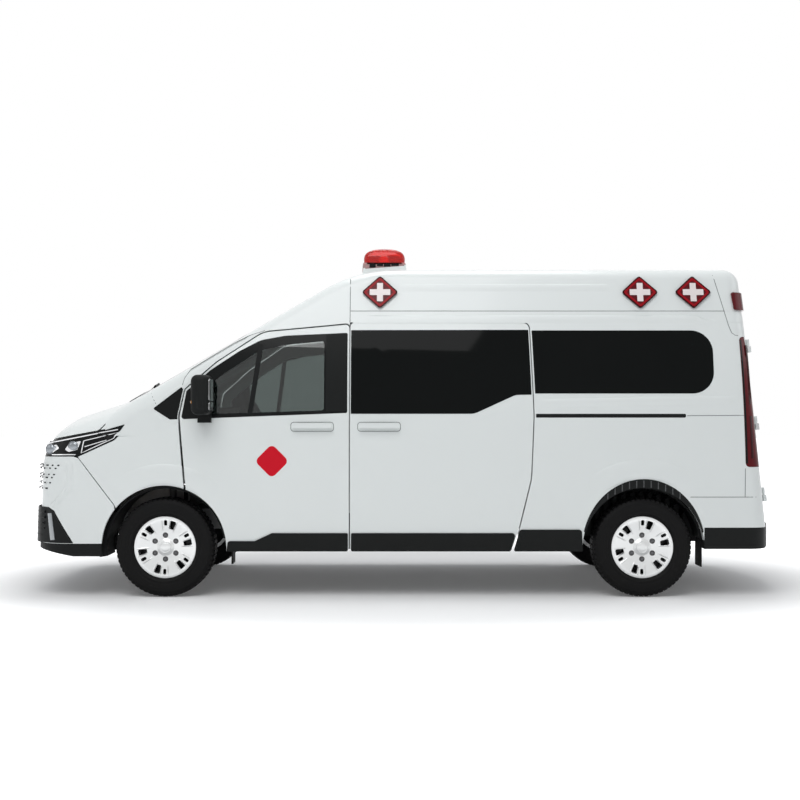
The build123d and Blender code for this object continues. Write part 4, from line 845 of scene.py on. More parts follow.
@dataclass
class SideTrim:
    """Black glass borders, seams, creases, wheel arch flares and the red sign, on both sides."""

    skin: Surface
    flank: Flank
    door_border: list[Corner] = field(default_factory=lambda: [
        (0.384, 1.272, 0.012), (1.528, 1.229, 0.02), (1.492, 1.424, 0.02), (1.330, 1.568, 0.03),
        (1.138, 1.698, 0.12),
        (0.985, 1.778, 0.15), (0.815, 1.809, 0.2), (0.384, 1.829, 0.012)])
    door_glass: list[Corner] = field(default_factory=lambda: [
        (0.545, 1.290, 0.02), (1.335, 1.264, 0.02), (1.332, 1.465, 0.05), (1.245, 1.540, 0.06),
        (0.990, 1.706, 0.15),
        (0.800, 1.748, 0.15), (0.545, 1.772, 0.02)])
    pillar_strip: list[Corner] = field(default_factory=lambda: [
        (0.388, 1.286, 0.006), (0.532, 1.281, 0.006), (0.532, 1.812, 0.006), (0.388, 1.820, 0.006)])
    divider: tuple[Point2, Point2] = ((0.983, 1.752), (1.053, 1.262))
    sail: list[Corner] = field(default_factory=lambda: [
        (1.721, 1.302, 0.008), (1.526, 1.452, 0.006), (1.516, 1.436, 0.002), (1.553, 1.250, 0.0),
        (1.551, 1.229, 0.0),
        (1.604, 1.227, 0.02)])
    sliding_glass: list[Corner] = field(default_factory=lambda: [
        (0.360, 1.266, 0.004), (0.360, 1.848, 0.004), (-0.870, 1.850, 0.004), (-0.885, 1.398, 0.004),
        (-0.775, 1.396, 0.10), (-0.490, 1.266, 0.14)])
    quarter_glass: list[Corner] = field(default_factory=lambda: [
        (-0.910, 1.406, 0.004), (-0.893, 1.846, 0.004), (-2.146, 1.846, 0.15), (-2.146, 1.406, 0.15)])
    seams: list[list[Point2]] = field(default_factory=lambda: [
        [(1.521, 1.465), (1.508, 1.515), (1.470, 1.575), (1.335, 1.662), (1.180, 1.757), (1.060, 1.815),
         (0.960, 1.846)],
        [(0.366, 1.984), (-2.245, 1.984)],
        [(0.369, 1.905), (0.369, 2.215)],
        [(-2.181, 2.243), (-2.218, 2.085), (-2.265, 1.880), (-2.283, 1.830), (-2.306, 1.812),
         (-2.328, 1.810)],
        [(-1.975, 0.694), (-2.430, 0.694)],
        [(-2.350, 0.694), (-2.352, 0.890)],
        [(-1.955, 1.253), (-2.345, 1.256)],
        [(1.741, 1.407), (1.702, 1.335)],
    ])
    ridges: list[list[Point2]] = field(default_factory=lambda: [
        [(-0.915, 1.338), (-2.335, 1.366)],
        [(0.350, 1.926), (-2.04, 1.926), (-2.10, 1.898), (-2.26, 1.896)],
        [(0.05, 2.152), (-1.48, 2.152)],
    ])
    flares: tuple[tuple[float, float, float, float, float], ...] = (
        (1.6455, 0.578, 50.0, 142.0, 0.140), (-1.6545, 0.610, 40.0, 134.0, 0.134))
    ribs: int = 11
    rib_gap: float = 0.062
    rib_r: float = 0.402
    # Outlines round the door handles, drawn as dark lines of painted shade of the handle cups.
    door_cup_shade: list[Corner] = field(default_factory=lambda: [
        (0.478, 1.146, 0.02), (0.772, 1.146, 0.02), (0.772, 1.208, 0.02), (0.478, 1.208, 0.02)])
    slide_cup_shade: list[Corner] = field(default_factory=lambda: [
        (0.018, 1.146, 0.02), (0.312, 1.146, 0.02), (0.312, 1.208, 0.02), (0.018, 1.208, 0.02)])
    apron_r: float = 0.414
    plate_x: Point2 = (2.036, 2.300)
    # Reach of the black crescent over the rear arch: the liner's own black with painted shade of a taller
    # opening.
    shade_reach: Point2 = (0.424, 0.474)
    apron_y: Point2 = (0.66, 0.905)
    sign_at: Point2 = (0.902, 0.941)
    sign_half: float = 0.118

    def build(self) -> None:
        """Builds the trim of both sides."""
        for view, word, sign in SIDES:
            self.glass(view, word)
            self.lines(view, word)
            self.arches(view, word, sign)
            self.liners(word, sign)
            self.sign(view, word)

    def glass(self, view: View, word: str) -> None:
        """Lays the black borders of the windows.

        Args:
            view: Side of the body.
            word: Name of the side.
        """
        door = f"door_front_{word}"
        build = bmesh.new()
        patch(build, self.flank, view, rounded(self.door_border), 0.0010, 0.06, 0.0026,
              rounded(self.door_glass))
        add_piece(f"door_window_border_{word}", build, GLOSS_BLACK, door)
        build = bmesh.new()
        patch(build, self.flank, view, rounded(self.pillar_strip), 0.0030, 0.06)
        ribbon(build, self.flank, view, divided(list(self.divider), 0.05), band(0.034, 0.0016, 0.004))
        add_piece(f"door_pillar_strip_{word}", build, SATIN_BLACK, door)
        build = bmesh.new()
        patch(build, self.skin, view, rounded(self.sail), 0.0016, 0.03)
        add_piece(f"fender_sail_{word}", build, GLOSS_BLACK, "van_body")
        build = bmesh.new()
        patch(build, self.flank, view, rounded(self.sliding_glass, 10), 0.0014, 0.06, 0.004)
        patch(build, self.flank, view, rounded(self.quarter_glass, 10), 0.0014, 0.06, 0.004)
        add_piece(f"side_glass_{word}", build, PRIVACY, "van_body")

    def lines(self, view: View, word: str) -> None:
        """Lays the joints and pressed lines of the panels, and lines of painted shade round the door handles.
        """
        build = bmesh.new()
        for path in self.seams:
            ribbon(build, self.skin, view, divided(path, 0.03), band(0.0045, 0.0008, 0.003))
        # Dark line of painted shade round the sliding door's handle.
        ribbon(build, self.flank, view, rounded(self.slide_cup_shade), band(0.004, 0.0012, 0.003), closed=True)
        add_piece(f"panel_seams_{word}", build, SEAM_AND_SHADE_DARK, "van_body")
        build = bmesh.new()
        # Dark line of painted shade round the front door's handle.
        ribbon(build, self.flank, view, rounded(self.door_cup_shade), band(0.004, 0.0012, 0.003), closed=True)
        add_piece(f"door_handle_line_{word}", build, SEAM_AND_SHADE_DARK, f"door_front_{word}")
        build = bmesh.new()
        for path in self.ridges:
            ribbon(build, self.skin, view, divided(path, 0.04), swell(0.055, 0.005, 0.25), fade=0.06)
        add_piece(f"pressed_lines_{word}", build, PAINT, "van_body", angle=60)

    def arches(self, view: View, word: str, sign: int) -> None:
        """Swells the panels round the wheel arches.

        Args:
            view: Side of the body.
            word: Name of the side.
            sign: Side of the vehicle, 1 on the left; not used.
        """
        meeting = Vector((1.4995, 0, 0.76))
        across_seam = Vector((1, 0, -0.09))
        for piece, body, cut in (("fender_flare", "van_body", -1), ("door_flare", f"door_front_{word}", 1),
                                 ("rear_flare", "van_body", 0)):
            centre_x, outer, start, end, width = self.flares[0 if cut else 1]
            rows = ((0.0, -0.003), (0.0, 0.0018), (0.05, 0.0050), (0.35, 0.0085), (0.7, 0.0095),
                    (0.94, 0.0085), (1.0, 0.0045),
                    (1.0, -0.003))
            build = bmesh.new()
            path = arc((centre_x, AXLE_Z), outer, start, end, 64)
            ribbon(build, self.flank, view, path, [(share * width, lift) for share, lift in rows], fade=0.35)
            if cut:
                clip(build, meeting - across_seam * (0.0075 * cut), across_seam * cut)
            add_piece(f"{piece}_{word}", build, PAINT, body, angle=50)

    def liners(self, word: str, sign: int) -> None:
        """Closes the arch ahead of the front wheel, lays a black crescent of painted shade over the rear
        arch's edge, and ribs the rear wheel housing.

        Args:
            word: Name of the side.
            sign: Side of the vehicle, 1 on the left.
        """
        centre_x = self.flares[0][0]
        build = bmesh.new()
        rings = []
        for point, outer in zip(arc((centre_x, AXLE_Z), self.apron_r, 34, -9, 16),
                                arc((centre_x, AXLE_Z), self.apron_r + 0.055, 34, -9, 16)):
            rings.append([Vector((point[0], sign * self.apron_y[0], point[1])),
                          Vector((point[0], sign * self.apron_y[1], point[1])),
                          Vector((outer[0], sign * self.apron_y[1], outer[1])),
                          Vector((outer[0], sign * self.apron_y[0], outer[1]))])
        sweep(build, rings)
        low_y, high_y = sorted((sign * self.apron_y[0], sign * (self.apron_y[0] - 0.012)))
        block(build, Vector((self.plate_x[0], low_y, 0.295)), Vector((self.plate_x[1], high_y, 0.640)))
        add_piece(f"arch_apron_{word}", build, TRIM, "van_body")
        housing = Surface(["wheel_liners", "floor_pan"])
        build = bmesh.new()
        centre_x = self.flares[1][0]
        # Black crescent on the paint above the rear arch: painted shade of a taller opening, over the liner's
        # own black.
        outer = [(centre_x + self.shade_reach[0] * cos(radians(k)), AXLE_Z + self.shade_reach[1] * sin(radians(k)))
                 for k in range(14, 167, 2)]
        inner = arc((centre_x, AXLE_Z), 0.414, 166, 14, 76)
        patch(build, self.flank, View.LEFT if sign > 0 else View.RIGHT, outer + inner, 0.0016, 0.06)
        add_piece(f"rear_arch_brow_{word}", build, GLOSS_BLACK, "van_body")
        # Grey liner ribs drawn on the painted shade.
        build = bmesh.new()
        for k in range(self.ribs):
            x = self.rib_gap * (k - (self.ribs - 1) / 2) * 0.8
            top = AXLE_Z + self.shade_reach[1] * (1 - (x / self.shade_reach[0]) ** 2) ** 0.5 - 0.008
            low = AXLE_Z + (0.418 ** 2 - x * x) ** 0.5
            ribbon(build, self.flank, View.LEFT if sign > 0 else View.RIGHT,
                   [(centre_x + x, low), (centre_x + x, top)], band(0.008, 0.0032))
        add_piece(f"rear_arch_ribs_{word}", build, CAB_PLASTIC, "van_body")
        view = View.LEFT if sign > 0 else View.RIGHT
        build = bmesh.new()
        for k in range(self.ribs):
            x = self.flares[1][0] + self.rib_gap * (k - (self.ribs - 1) / 2)
            top = AXLE_Z + (self.rib_r ** 2 - (x - self.flares[1][0]) ** 2) ** 0.5
            ribbon(build, housing, view, divided([(x, top - 0.16), (x, top)], 0.04), swell(0.030, 0.014))
        add_piece(f"housing_ribs_{word}", build, SATIN_BLACK, "van_body", angle=40)

    def sign(self, view: View, word: str) -> None:
        """Lays the plain blank red sign on the front door."""
        a, b = self.sign_at
        half = self.sign_half
        diamond = [(a - half, b, 0.035), (a, b + half, 0.035), (a + half, b, 0.035), (a, b - half, 0.035)]
        build = bmesh.new()
        patch(build, self.flank, view, rounded(diamond), 0.0008, 0.05)
        add_piece(f"door_sign_{word}", build, SIGN_RED, f"door_front_{word}")


@dataclass
class RoofLamps:
    """Light bar and the diamond lamps with crosses on the roof sides."""

    skin: Surface
    lamp_skin: Surface
    lamps_x: tuple[float, ...] = (0.161, -1.658, -2.030)
    lamp_z: float = 2.118
    half_w: float = 0.130
    half_h: float = 0.119
    bar_y: float = 0.418
    dome_at: Point2 = (0.136, 2.398)
    dome_half: Point2 = (0.152, 0.083)
    dome_power: float = 2.7
    skirt: list[Corner] = field(default_factory=lambda: [
        (0.300, 2.318, 0.0), (0.296, 2.376, 0.006), (-0.022, 2.376, 0.006), (-0.026, 2.332, 0.0)])

    def build(self) -> None:
        """Builds the lamps."""
        self.light_bar()
        for view, word, _ in SIDES:
            self.diamonds(view, word)

    def light_bar(self) -> None:
        """Builds the red dome over a clear skirt, with dark modules inside."""
        stations = ((1.0, 0.70), (0.985, 0.84), (0.955, 0.94), (0.90, 0.985), (0.82, 1.0))
        rows = [(-share, size) for share, size in stations] + [(share, size)
                                                               for share, size in reversed(stations)]
        middle, low = self.dome_at[0], self.dome_at[1] - 0.034
        build = bmesh.new()
        outline = [(middle - self.dome_half[0] * 0.985, low)]
        for k in range(33):
            angle = pi - pi * k / 32
            power = self.dome_power
            bulge = (abs(cos(angle)) ** power + sin(angle) ** power) ** (-1 / power)
            outline.append((middle + self.dome_half[0] * bulge * cos(angle),
                            self.dome_at[1] + self.dome_half[1] * bulge * sin(angle)))
        outline.append((middle + self.dome_half[0] * 0.985, low))
        sweep(build, [[Vector((middle + (x - middle) * (0.5 + size / 2), share * self.bar_y,
                               low + (z - low) * size))
                       for x, z in outline] for share, size in rows])
        dome = add_piece("light_bar_dome", build, BEACON_RED, "van_body", angle=50)
        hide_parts("light_bar_lens")
        build = bmesh.new()
        outline = rounded(self.skirt, 3)
        sweep(build, [[Vector((middle + (x - middle) * (0.62 + size * 0.38), share * self.bar_y, z))
                       for x, z in outline]
                      for share, size in rows])
        add_piece("light_bar_skirt", build, SKIRT_RED, "van_body", angle=50)
        build = bmesh.new()
        for k in range(9):
            y = -0.36 + 0.09 * k
            for x in (0.075, 0.205):
                rings = [[Vector((x + size * cos(2 * pi * n / 16), y + size * sin(2 * pi * n / 16), z))
                          for n in range(16)]
                         for size, z in ((0.020, 2.375), (0.040, 2.425), (0.042, 2.428), (0.036, 2.428),
                                         (0.014, 2.386))]
                sweep(build, rings)
        add_piece("light_bar_reflectors", build, CHROME, "van_body", angle=40)
        build = bmesh.new()
        for k in range(9):
            y = -0.36 + 0.09 * k
            block(build, Vector((0.035, y - 0.034, 2.345)), Vector((0.245, y + 0.034, 2.3735)))
        for x, lean in ((-0.0195, 1), (0.2925, -1)):
            for k in range(8):
                y = -0.315 + 0.09 * k
                block(build, Vector((x - 0.002, y - 0.03, 2.345)), Vector((x + 0.002, y + 0.03, 2.366)))
        for side in (-1, 1):
            y = side * self.bar_y * 1.002
            for low_x, high_x, low_z in ((0.030, 0.085, 2.352), (0.090, 0.140, 2.346), (0.146, 0.190, 2.350),
                                         (0.200, 0.245, 2.340)):
                block(build, Vector((low_x, y - 0.004, low_z)), Vector((high_x, y + 0.004, 2.370)))
        add_piece("light_bar_modules", build, GLOSS_BLACK, "van_body")

    def diamonds(self, view: View, word: str) -> None:
        """Dresses the diamond lamps of one side.

        Args:
            view: Side of the body.
            word: Name of the side.
        """
        plates = ((1.0, 0.0030, LENS_DEEP, "bezel"), (0.90, 0.0062, CROSS_RED, "lens"),
                  (0.74, 0.0048, LENS_RED, "well"))
        for share, height, finish, part in plates:
            build = bmesh.new()
            for x in self.lamps_x:
                rows = [(x - self.half_w, self.lamp_z, 0.018), (x, self.lamp_z + self.half_h, 0.018),
                        (x + self.half_w, self.lamp_z, 0.018), (x, self.lamp_z - self.half_h, 0.018)]
                outer = rounded(scaled(rows, (x, self.lamp_z), share))
                inner = rounded(scaled(rows, (x, self.lamp_z), 0.74)) if part == "lens" else None
                patch(build, self.lamp_skin, view, outer, height, 0.06, 0.002, inner)
            add_piece(f"roof_lamp_{part}_{word}", build, finish, "van_body")
        build = bmesh.new()
        for x in self.lamps_x:
            patch(build, self.lamp_skin, view, rounded(cross((x, self.lamp_z), 0.072, 0.066, 0.021), 3),
                  0.0080, 0.05)
        add_piece(f"roof_lamp_cross_{word}", build, WHITE_LENS, "van_body")


def turned_copies(name: str, unit: bmesh.types.BMesh, count: int, finish: Finish) -> bpy.types.Mesh:
    """Copies a part round the wheel axis with Geometry Nodes.

    Args:
        name: Name of the mesh.
        unit: The part at the top of the wheel, freed here.
        count: Copies in a full turn.
        finish: Finish that the nodes set.

    Returns:
        Plain mesh with all the copies.
    """
    mesh = bpy.data.meshes.new(f"{name}_unit")
    bmesh.ops.recalc_face_normals(unit, faces=unit.faces)
    unit.to_mesh(mesh)
    unit.free()
    source = bpy.data.objects.new(f"{name}_unit", mesh)
    holder = bpy.data.objects.new(f"{name}_holder", bpy.data.meshes.new(f"{name}_holder"))
    for item in (source, holder):
        bpy.context.scene.collection.objects.link(item)
    tree = bpy.data.node_groups.new(f"{name}_ring", "GeometryNodeTree")
    tree.interface.new_socket("Geometry", in_out="INPUT", socket_type="NodeSocketGeometry")
    unit_in = tree.interface.new_socket("Unit", in_out="INPUT", socket_type="NodeSocketObject")
    count_in = tree.interface.new_socket("Count", in_out="INPUT", socket_type="NodeSocketInt")
    tree.interface.new_socket("Geometry", in_out="OUTPUT", socket_type="NodeSocketGeometry")
    nodes, links = tree.nodes, tree.links
    given, result = nodes.new("NodeGroupInput"), nodes.new("NodeGroupOutput")
    points, part = nodes.new("GeometryNodePoints"), nodes.new("GeometryNodeObjectInfo")
    index, pitch = nodes.new("GeometryNodeInputIndex"), nodes.new("ShaderNodeMath")
    turn, angles = nodes.new("ShaderNodeMath"), nodes.new("ShaderNodeCombineXYZ")
    spread, real = nodes.new("GeometryNodeInstanceOnPoints"), nodes.new("GeometryNodeRealizeInstances")
    coat = nodes.new("GeometryNodeSetMaterial")
    pitch.operation, turn.operation = "DIVIDE", "MULTIPLY"
    pitch.inputs[0].default_value = 2 * pi
    coat.inputs["Material"].default_value = finish.make()
    links.new(given.outputs["Unit"], part.inputs["Object"])
    links.new(given.outputs["Count"], points.inputs["Count"])
    links.new(given.outputs["Count"], pitch.inputs[1])
    links.new(pitch.outputs["Value"], turn.inputs[0])
    links.new(index.outputs["Index"], turn.inputs[1])
    links.new(turn.outputs["Value"], angles.inputs["Y"])
    links.new(points.outputs["Points"], spread.inputs["Points"])
    links.new(part.outputs["Geometry"], spread.inputs["Instance"])
    links.new(angles.outputs["Vector"], spread.inputs["Rotation"])
    links.new(spread.outputs["Instances"], real.inputs["Geometry"])
    links.new(real.outputs["Geometry"], coat.inputs["Geometry"])
    links.new(coat.outputs["Geometry"], result.inputs["Geometry"])
    ring = holder.modifiers.new("ring", "NODES")
    ring.node_group = tree
    ring[unit_in.identifier] = source
    ring[count_in.identifier] = count
    graph = bpy.context.evaluated_depsgraph_get()
    plain = bpy.data.meshes.new_from_object(holder.evaluated_get(graph))
    holder.modifiers.remove(ring)
    for item in (holder, source):
        bpy.data.objects.remove(item)
    return plain


@dataclass
class Wheels:
    """Tyres with tread, silver covers with nuts and caps, and the drums behind them."""

    pitches: int = 60
    nut_r: float = 0.083
    nut_y: float = 0.0582
    ridge_floor: float = 0.045
    bars: tuple[tuple[float, float, float, float, float], ...] = (
        (8.0, 6.0, 0.112, 0.200, 0.009), (33.0, 33.5, 0.105, 0.203, 0.010),
        (-12.0, -10.0, 0.120, 0.203, 0.008))
    side: list[Point2] = field(default_factory=lambda: [
        (0.2140, 0.0800), (0.2200, 0.0925), (0.2290, 0.0985), (0.2330, 0.1030), (0.2390, 0.1040),
        (0.2430, 0.1022),
        (0.2560, 0.1042), (0.2600, 0.1056), (0.2640, 0.1048), (0.2760, 0.1064), (0.2900, 0.1070),
        (0.3020, 0.1052),
        (0.3050, 0.1060), (0.3080, 0.1046), (0.3200, 0.1005), (0.3290, 0.0940), (0.3335, 0.0830)])
    ribs: list[Point2] = field(default_factory=lambda: [
        (0.3345, 0.0800), (0.3345, 0.0130), (0.3415, 0.0125), (0.3425, 0.0)])

    def build(self) -> None:
        """Builds one wheel and sets its copies at the four corners."""
        rubber = self.tyre()
        tread = turned_copies("tread", self.tread_pitch(), self.pitches, RUBBER)
        nuts = turned_copies("nuts", self.nut(), 6, NUT)
        wells = turned_copies("wells", self.well(), 6, CHASSIS)
        ridges = turned_copies("ridges", self.ridges(), 6, SILVER)
        cap, drum = self.cap(), self.drum()
        for corner in ("front_left", "front_right", "rear_left", "rear_right"):
            low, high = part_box(f"tyre_{corner}")
            turn = pi if corner.endswith("right") else 0.0
            place = Matrix.Translation((low + high) / 2) @ Matrix.Rotation(turn, 4, "Z")
            body = f"wheel_{corner}"
            tyre = self.set_at(f"tyre_{corner}_casing", rubber, place, RUBBER, body, 40)
            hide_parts(f"tyre_{corner}")
            self.set_at(f"tyre_{corner}_tread", tread, place, RUBBER, body, 30)
            self.set_at(f"wheel_{corner}_nuts", nuts, place, NUT, body, 30)
            self.set_at(f"wheel_{corner}_wells", wells, place, CHASSIS, body, 30)
            self.set_at(f"wheel_{corner}_ridges", ridges, place, SILVER, body, 40)
            self.set_at(f"wheel_{corner}_cap", cap, place, SILVER, body, 40)
            self.set_at(f"wheel_{corner}_drum", drum, place, GLOSS_BLACK, body, 30)

    def set_at(self, name: str, mesh: bpy.types.Mesh, place: Matrix, finish: Finish, body: str,
               angle: float) -> bpy.types.Object:
        """Copies a mesh of the pattern wheel to one corner.

        Args:
            name: Name of the piece.
            mesh: Mesh round the origin.
            place: Where the wheel stands.
            finish: Its finish.
            body: Wheel that it turns with.
            angle: Edges sharper than this many degrees stay sharp.

        Returns:
            The new object.
        """
        build = bmesh.new()
        build.from_mesh(mesh)
        build.transform(place)
        return add_piece(name, build, finish, body, angle, outward=False)

    def turned(self, name: str, profile: list[Point2], steps: int) -> bpy.types.Mesh:
        """Mesh of a section turned round the wheel axis."""
        build = bmesh.new()
        lathe(build, profile, Vector((0, 0, 0)), steps)
        bmesh.ops.recalc_face_normals(build, faces=build.faces)
        mesh = bpy.data.meshes.new(name)
        build.to_mesh(mesh)
        build.free()
        return mesh

    def tyre(self) -> bpy.types.Mesh:
        """Casing with moulded side rings and grooved crown."""
        half = self.side + self.ribs
        whole = half + [(r, -y) for r, y in reversed(half[:-1])]
        return self.turned("casing", whole, 120)

    def tread_pitch(self) -> bmesh.types.BMesh:
        """One pitch of the tread: two shoulder lugs and two slanted inner blocks on each side."""
        build = bmesh.new()
        gap = 2 * pi / self.pitches
        for sign in (1, -1):
            shoulder = ((0.0985, 0.3205, 0.0965, 0.3325), (0.0620, 0.3335, 0.0620, 0.3428))
            inner = ((0.0540, 0.3335, 0.0540, 0.3430), (0.0200, 0.3335, 0.0200, 0.3430))
            for rows, start, end, slant in ((shoulder, 0.10, 0.72, 0.0), (inner, 0.05, 0.70, 0.28)):
                corners = []
                for (low_y, low_r, top_y, top_r), lag in zip(rows, (0.0, slant)):
                    for share in (start, end):
                        angle = gap * (share + lag) - gap / 2
                        for y, r in ((low_y, low_r), (top_y, top_r)):
                            corners.append(build.verts.new((r * sin(angle), sign * y, r * cos(angle))))
                for row in ((0, 1, 3, 2), (4, 6, 7, 5), (0, 4, 5, 1), (2, 3, 7, 6), (1, 5, 7, 3),
                            (0, 2, 6, 4)):
                    build.faces.new([corners[i] for i in row])
        return build

    def nut(self) -> bmesh.types.BMesh:
        """One hexagon nut with a rounded end, in its seat."""
        build = bmesh.new()
        rings = []
        for depth, size in ((0.0, 0.0165), (0.0025, 0.0165), (0.0030, 0.0110), (0.0120, 0.0110),
                            (0.0145, 0.0090), (0.0150, 0.0050)):
            rings.append([Vector((size * cos(k * pi / 3), self.nut_y + depth,
                                  self.nut_r + size * sin(k * pi / 3)))
                          for k in range(6)])
        sweep(build, rings)
        return build

    def well(self) -> bmesh.types.BMesh:
        """Dark seat round one nut."""
        build = bmesh.new()
        rings = []
        for depth, size in ((-0.0005, 0.0120), (0.0010, 0.0120), (0.0010, 0.0180), (0.0065, 0.0186),
                            (0.0065, 0.0205), (-0.0005, 0.0205)):
            rings.append([Vector((size * cos(k * pi / 12), self.nut_y + depth,
                                  self.nut_r + size * sin(k * pi / 12)))
                          for k in range(24)])
        sweep(build, rings, closed=True)
        return build

    def ridges(self) -> bmesh.types.BMesh:
        """Raised bars beside the windows of one sixth of the cover."""
        low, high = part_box("tyre_front_left")
        centre = (low + high) / 2
        cover = Surface(["rim_front_left"])
        build = bmesh.new()
        for start, end, inner, outer, width in self.bars:
            path = []
            for k in range(9):
                turn = radians(start + (end - start) * k / 8)
                reach = inner + (outer - inner) * k / 8
                path.append((centre.x + reach * sin(turn), centre.z + reach * cos(turn)))
            ribbon(build, cover, View.LEFT, path, swell(width, 0.0045, 0.4, 0.002), fade=0.2)
        bmesh.ops.translate(build, verts=build.verts, vec=-centre)
        for vert in build.verts:
            vert.co.y = max(vert.co.y, self.ridge_floor)
        return build

    def cap(self) -> bpy.types.Mesh:
        """Plain centre cap with a ring round it."""
        profile = [(0.0005, 0.0790), (0.0005, 0.0868), (0.0150, 0.0864), (0.0290, 0.0848), (0.0325, 0.0826),
                   (0.0340, 0.0826),
                   (0.0352, 0.0850), (0.0380, 0.0850), (0.0395, 0.0825), (0.0400, 0.0760)]
        return self.turned("cap", profile, 48)

    def drum(self) -> bpy.types.Mesh:
        """Dark brake drum that shows through the cover's windows."""
        profile = [(0.070, -0.040), (0.160, -0.040), (0.188, -0.020), (0.188, 0.012), (0.150, 0.020),
                   (0.110, 0.014), (0.070, 0.014)]
        return self.turned("drum", profile, 64)


@dataclass
class FrontEnd:
    """Headlamps, grille marks, bumper lines, lamp pods, wipers and cowl."""

    skin: Surface
    lamp_r: float = 0.036
    tip: list[Corner] = field(default_factory=lambda: [
        (1.911, 1.195, 0.003), (1.944, 1.150, 0.02), (2.057, 1.060, 0.03), (2.160, 1.010, 0.0),
        (2.160, 1.124, 0.0),
        (2.105, 1.138, 0.02)])
    mark_rows: tuple[tuple[float, float, float], ...] = (
        (0.911, 0.46, 2.373), (0.890, 0.46, 2.395), (0.847, 0.46, 2.408), (0.826, 0.46, 2.425),
        (0.790, 0.0, 2.440),
        (0.751, 0.0, 2.472))
    mark_gap: float = 0.034
    bridge_half: float = 0.54
    bridge_steps: int = 22
    bridge_depth: Point2 = (0.008, 0.024)
    bridge_z: Point2 = (0.980, 1.068)
    face_z: Point2 = (0.938, 0.985)
    sill: tuple[float, float, float] = (0.56, 0.3660, 0.3970)
    lip_ease: float = 0.003
    lip_line: tuple[Point2, Point2] = ((2.270, 0.285), (2.625, 0.350))
    pod_slats: tuple[float, ...] = (0.430, 0.470, 0.510, 0.550, 0.588)

    def near(self, x: float, z: float, sign: int) -> Point2:
        """Nose coordinates of a place seen from the side."""
        return sign * self.skin.round_nose(x, z), z

    def along(self, places: list[Point2], sign: int, step: float = 0.03) -> list[Point2]:
        """Path round the nose through places seen from the side."""
        return [self.near(x, z, sign) for x, z in divided(places, step)]

    def area(self, corners: list[Corner], sign: int) -> list[Point2]:
        """Outline round the nose from corners seen from the side."""
        outline = rounded(corners)
        return [self.near(x, z, sign) for x, z in outline]

    def build(self) -> None:
        """Builds the pieces of both sides and the middle."""
        for view, word, sign in SIDES:
            self.headlamp(word, sign)
            self.lamp_tip(view, word)
            self.bumper(word, sign)
        self.bridge()
        self.marks()
        self.screen()
        self.lip()

    def lip(self) -> None:
        """Replaces the valance by a copy whose lower edge rises to the front."""
        node = frame["nodes"]["front_valance"]
        build = bmesh.new()
        build.from_mesh(node.data)
        bmesh.ops.remove_doubles(build, verts=build.verts, dist=MERGE)
        back, front = self.lip_line
        along = Vector((front[0] - back[0], 0, front[1] - back[1])).normalized()
        clip(build, Vector((back[0], 0, back[1])), Vector((along.z, 0, -along.x)))
        lip = add_piece("front_valance_lip", build, TRIM, "van_body", outward=False)
        ease = lip.modifiers.new("eased_edges", "BEVEL")
        ease.width, ease.segments = self.lip_ease, 2
        ease.limit_method, ease.angle_limit = "ANGLE", radians(40)
        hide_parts("front_valance")

    def headlamp(self, word: str, sign: int) -> None:
        """Fills a headlamp with its reflectors and strips.

        Args:
            word: Name of the side.
            sign: Side of the vehicle, 1 on the left.
        """
        build = bmesh.new()
        ribbon(build, self.skin, View.NOSE, self.along([(2.535, 1.050), (2.105, 1.132), (1.960, 1.158)],
                                                       sign), band(0.008, 0.0030))
        for corners in (
            [(2.505, 1.035, 0.008), (2.400, 1.052, 0.008), (2.375, 1.028, 0.008), (2.420, 1.000, 0.008),
             (2.480, 0.996, 0.01)],
            [(2.300, 1.062, 0.008), (2.218, 1.080, 0.006), (2.240, 1.020, 0.006), (2.300, 1.004, 0.008),
             (2.330, 1.020, 0.008)],
        ):
            patch(build, self.skin, View.NOSE, self.area(corners, sign), 0.0020, 0.02)
        ribbon(build, self.skin, View.NOSE, self.along([(2.430, 0.984), (2.250, 0.986)], sign),
               band(0.007, 0.0030))
        rear = [(2.200, 1.080), (1.962, 1.137), (1.992, 1.098), (2.212, 0.996), (2.200, 1.080)]
        ribbon(build, self.skin, View.NOSE, self.along(rear, sign), band(0.0055, 0.0034))
        ribbon(build, self.skin, View.NOSE, self.along([(2.190, 1.040), (2.040, 1.086)], sign),
               band(0.006, 0.0026))
        add_piece(f"headlamp_reflectors_{word}", build, CHROME, "van_body")
        build = bmesh.new()
        for x, z in ((2.448, 1.022), (2.272, 1.042)):
            hub = self.skin.at(View.NOSE, *self.near(x, z, sign))
            outward = -View.NOSE.ray(*self.near(x, z, sign))[1]
            turn = outward.to_track_quat("Z", "Y").to_matrix()
            rings = []
            for size, depth in ((1.0, -0.004), (1.0, 0.006), (0.9, 0.009), (0.88, 0.006), (0.80, 0.010),
                                (0.5, 0.014), (0.08, 0.015)):
                rings.append([hub + turn @ Vector((self.lamp_r * size * cos(2 * pi * k / 28),
                                                   self.lamp_r * size * sin(2 * pi * k / 28),
                                                   depth)) for k in range(28)])
            sweep(build, rings)
        add_piece(f"headlamp_projectors_{word}", build, PROJECTOR, "van_body", angle=40)

    def lamp_tip(self, view: View, word: str) -> None:
        """Lays the dark rear point of a headlamp on the fender."""
        build = bmesh.new()
        patch(build, self.skin, view, rounded(self.tip), 0.0016, 0.02)
        add_piece(f"headlamp_tip_{word}", build, GLOSS_BLACK, "van_body")

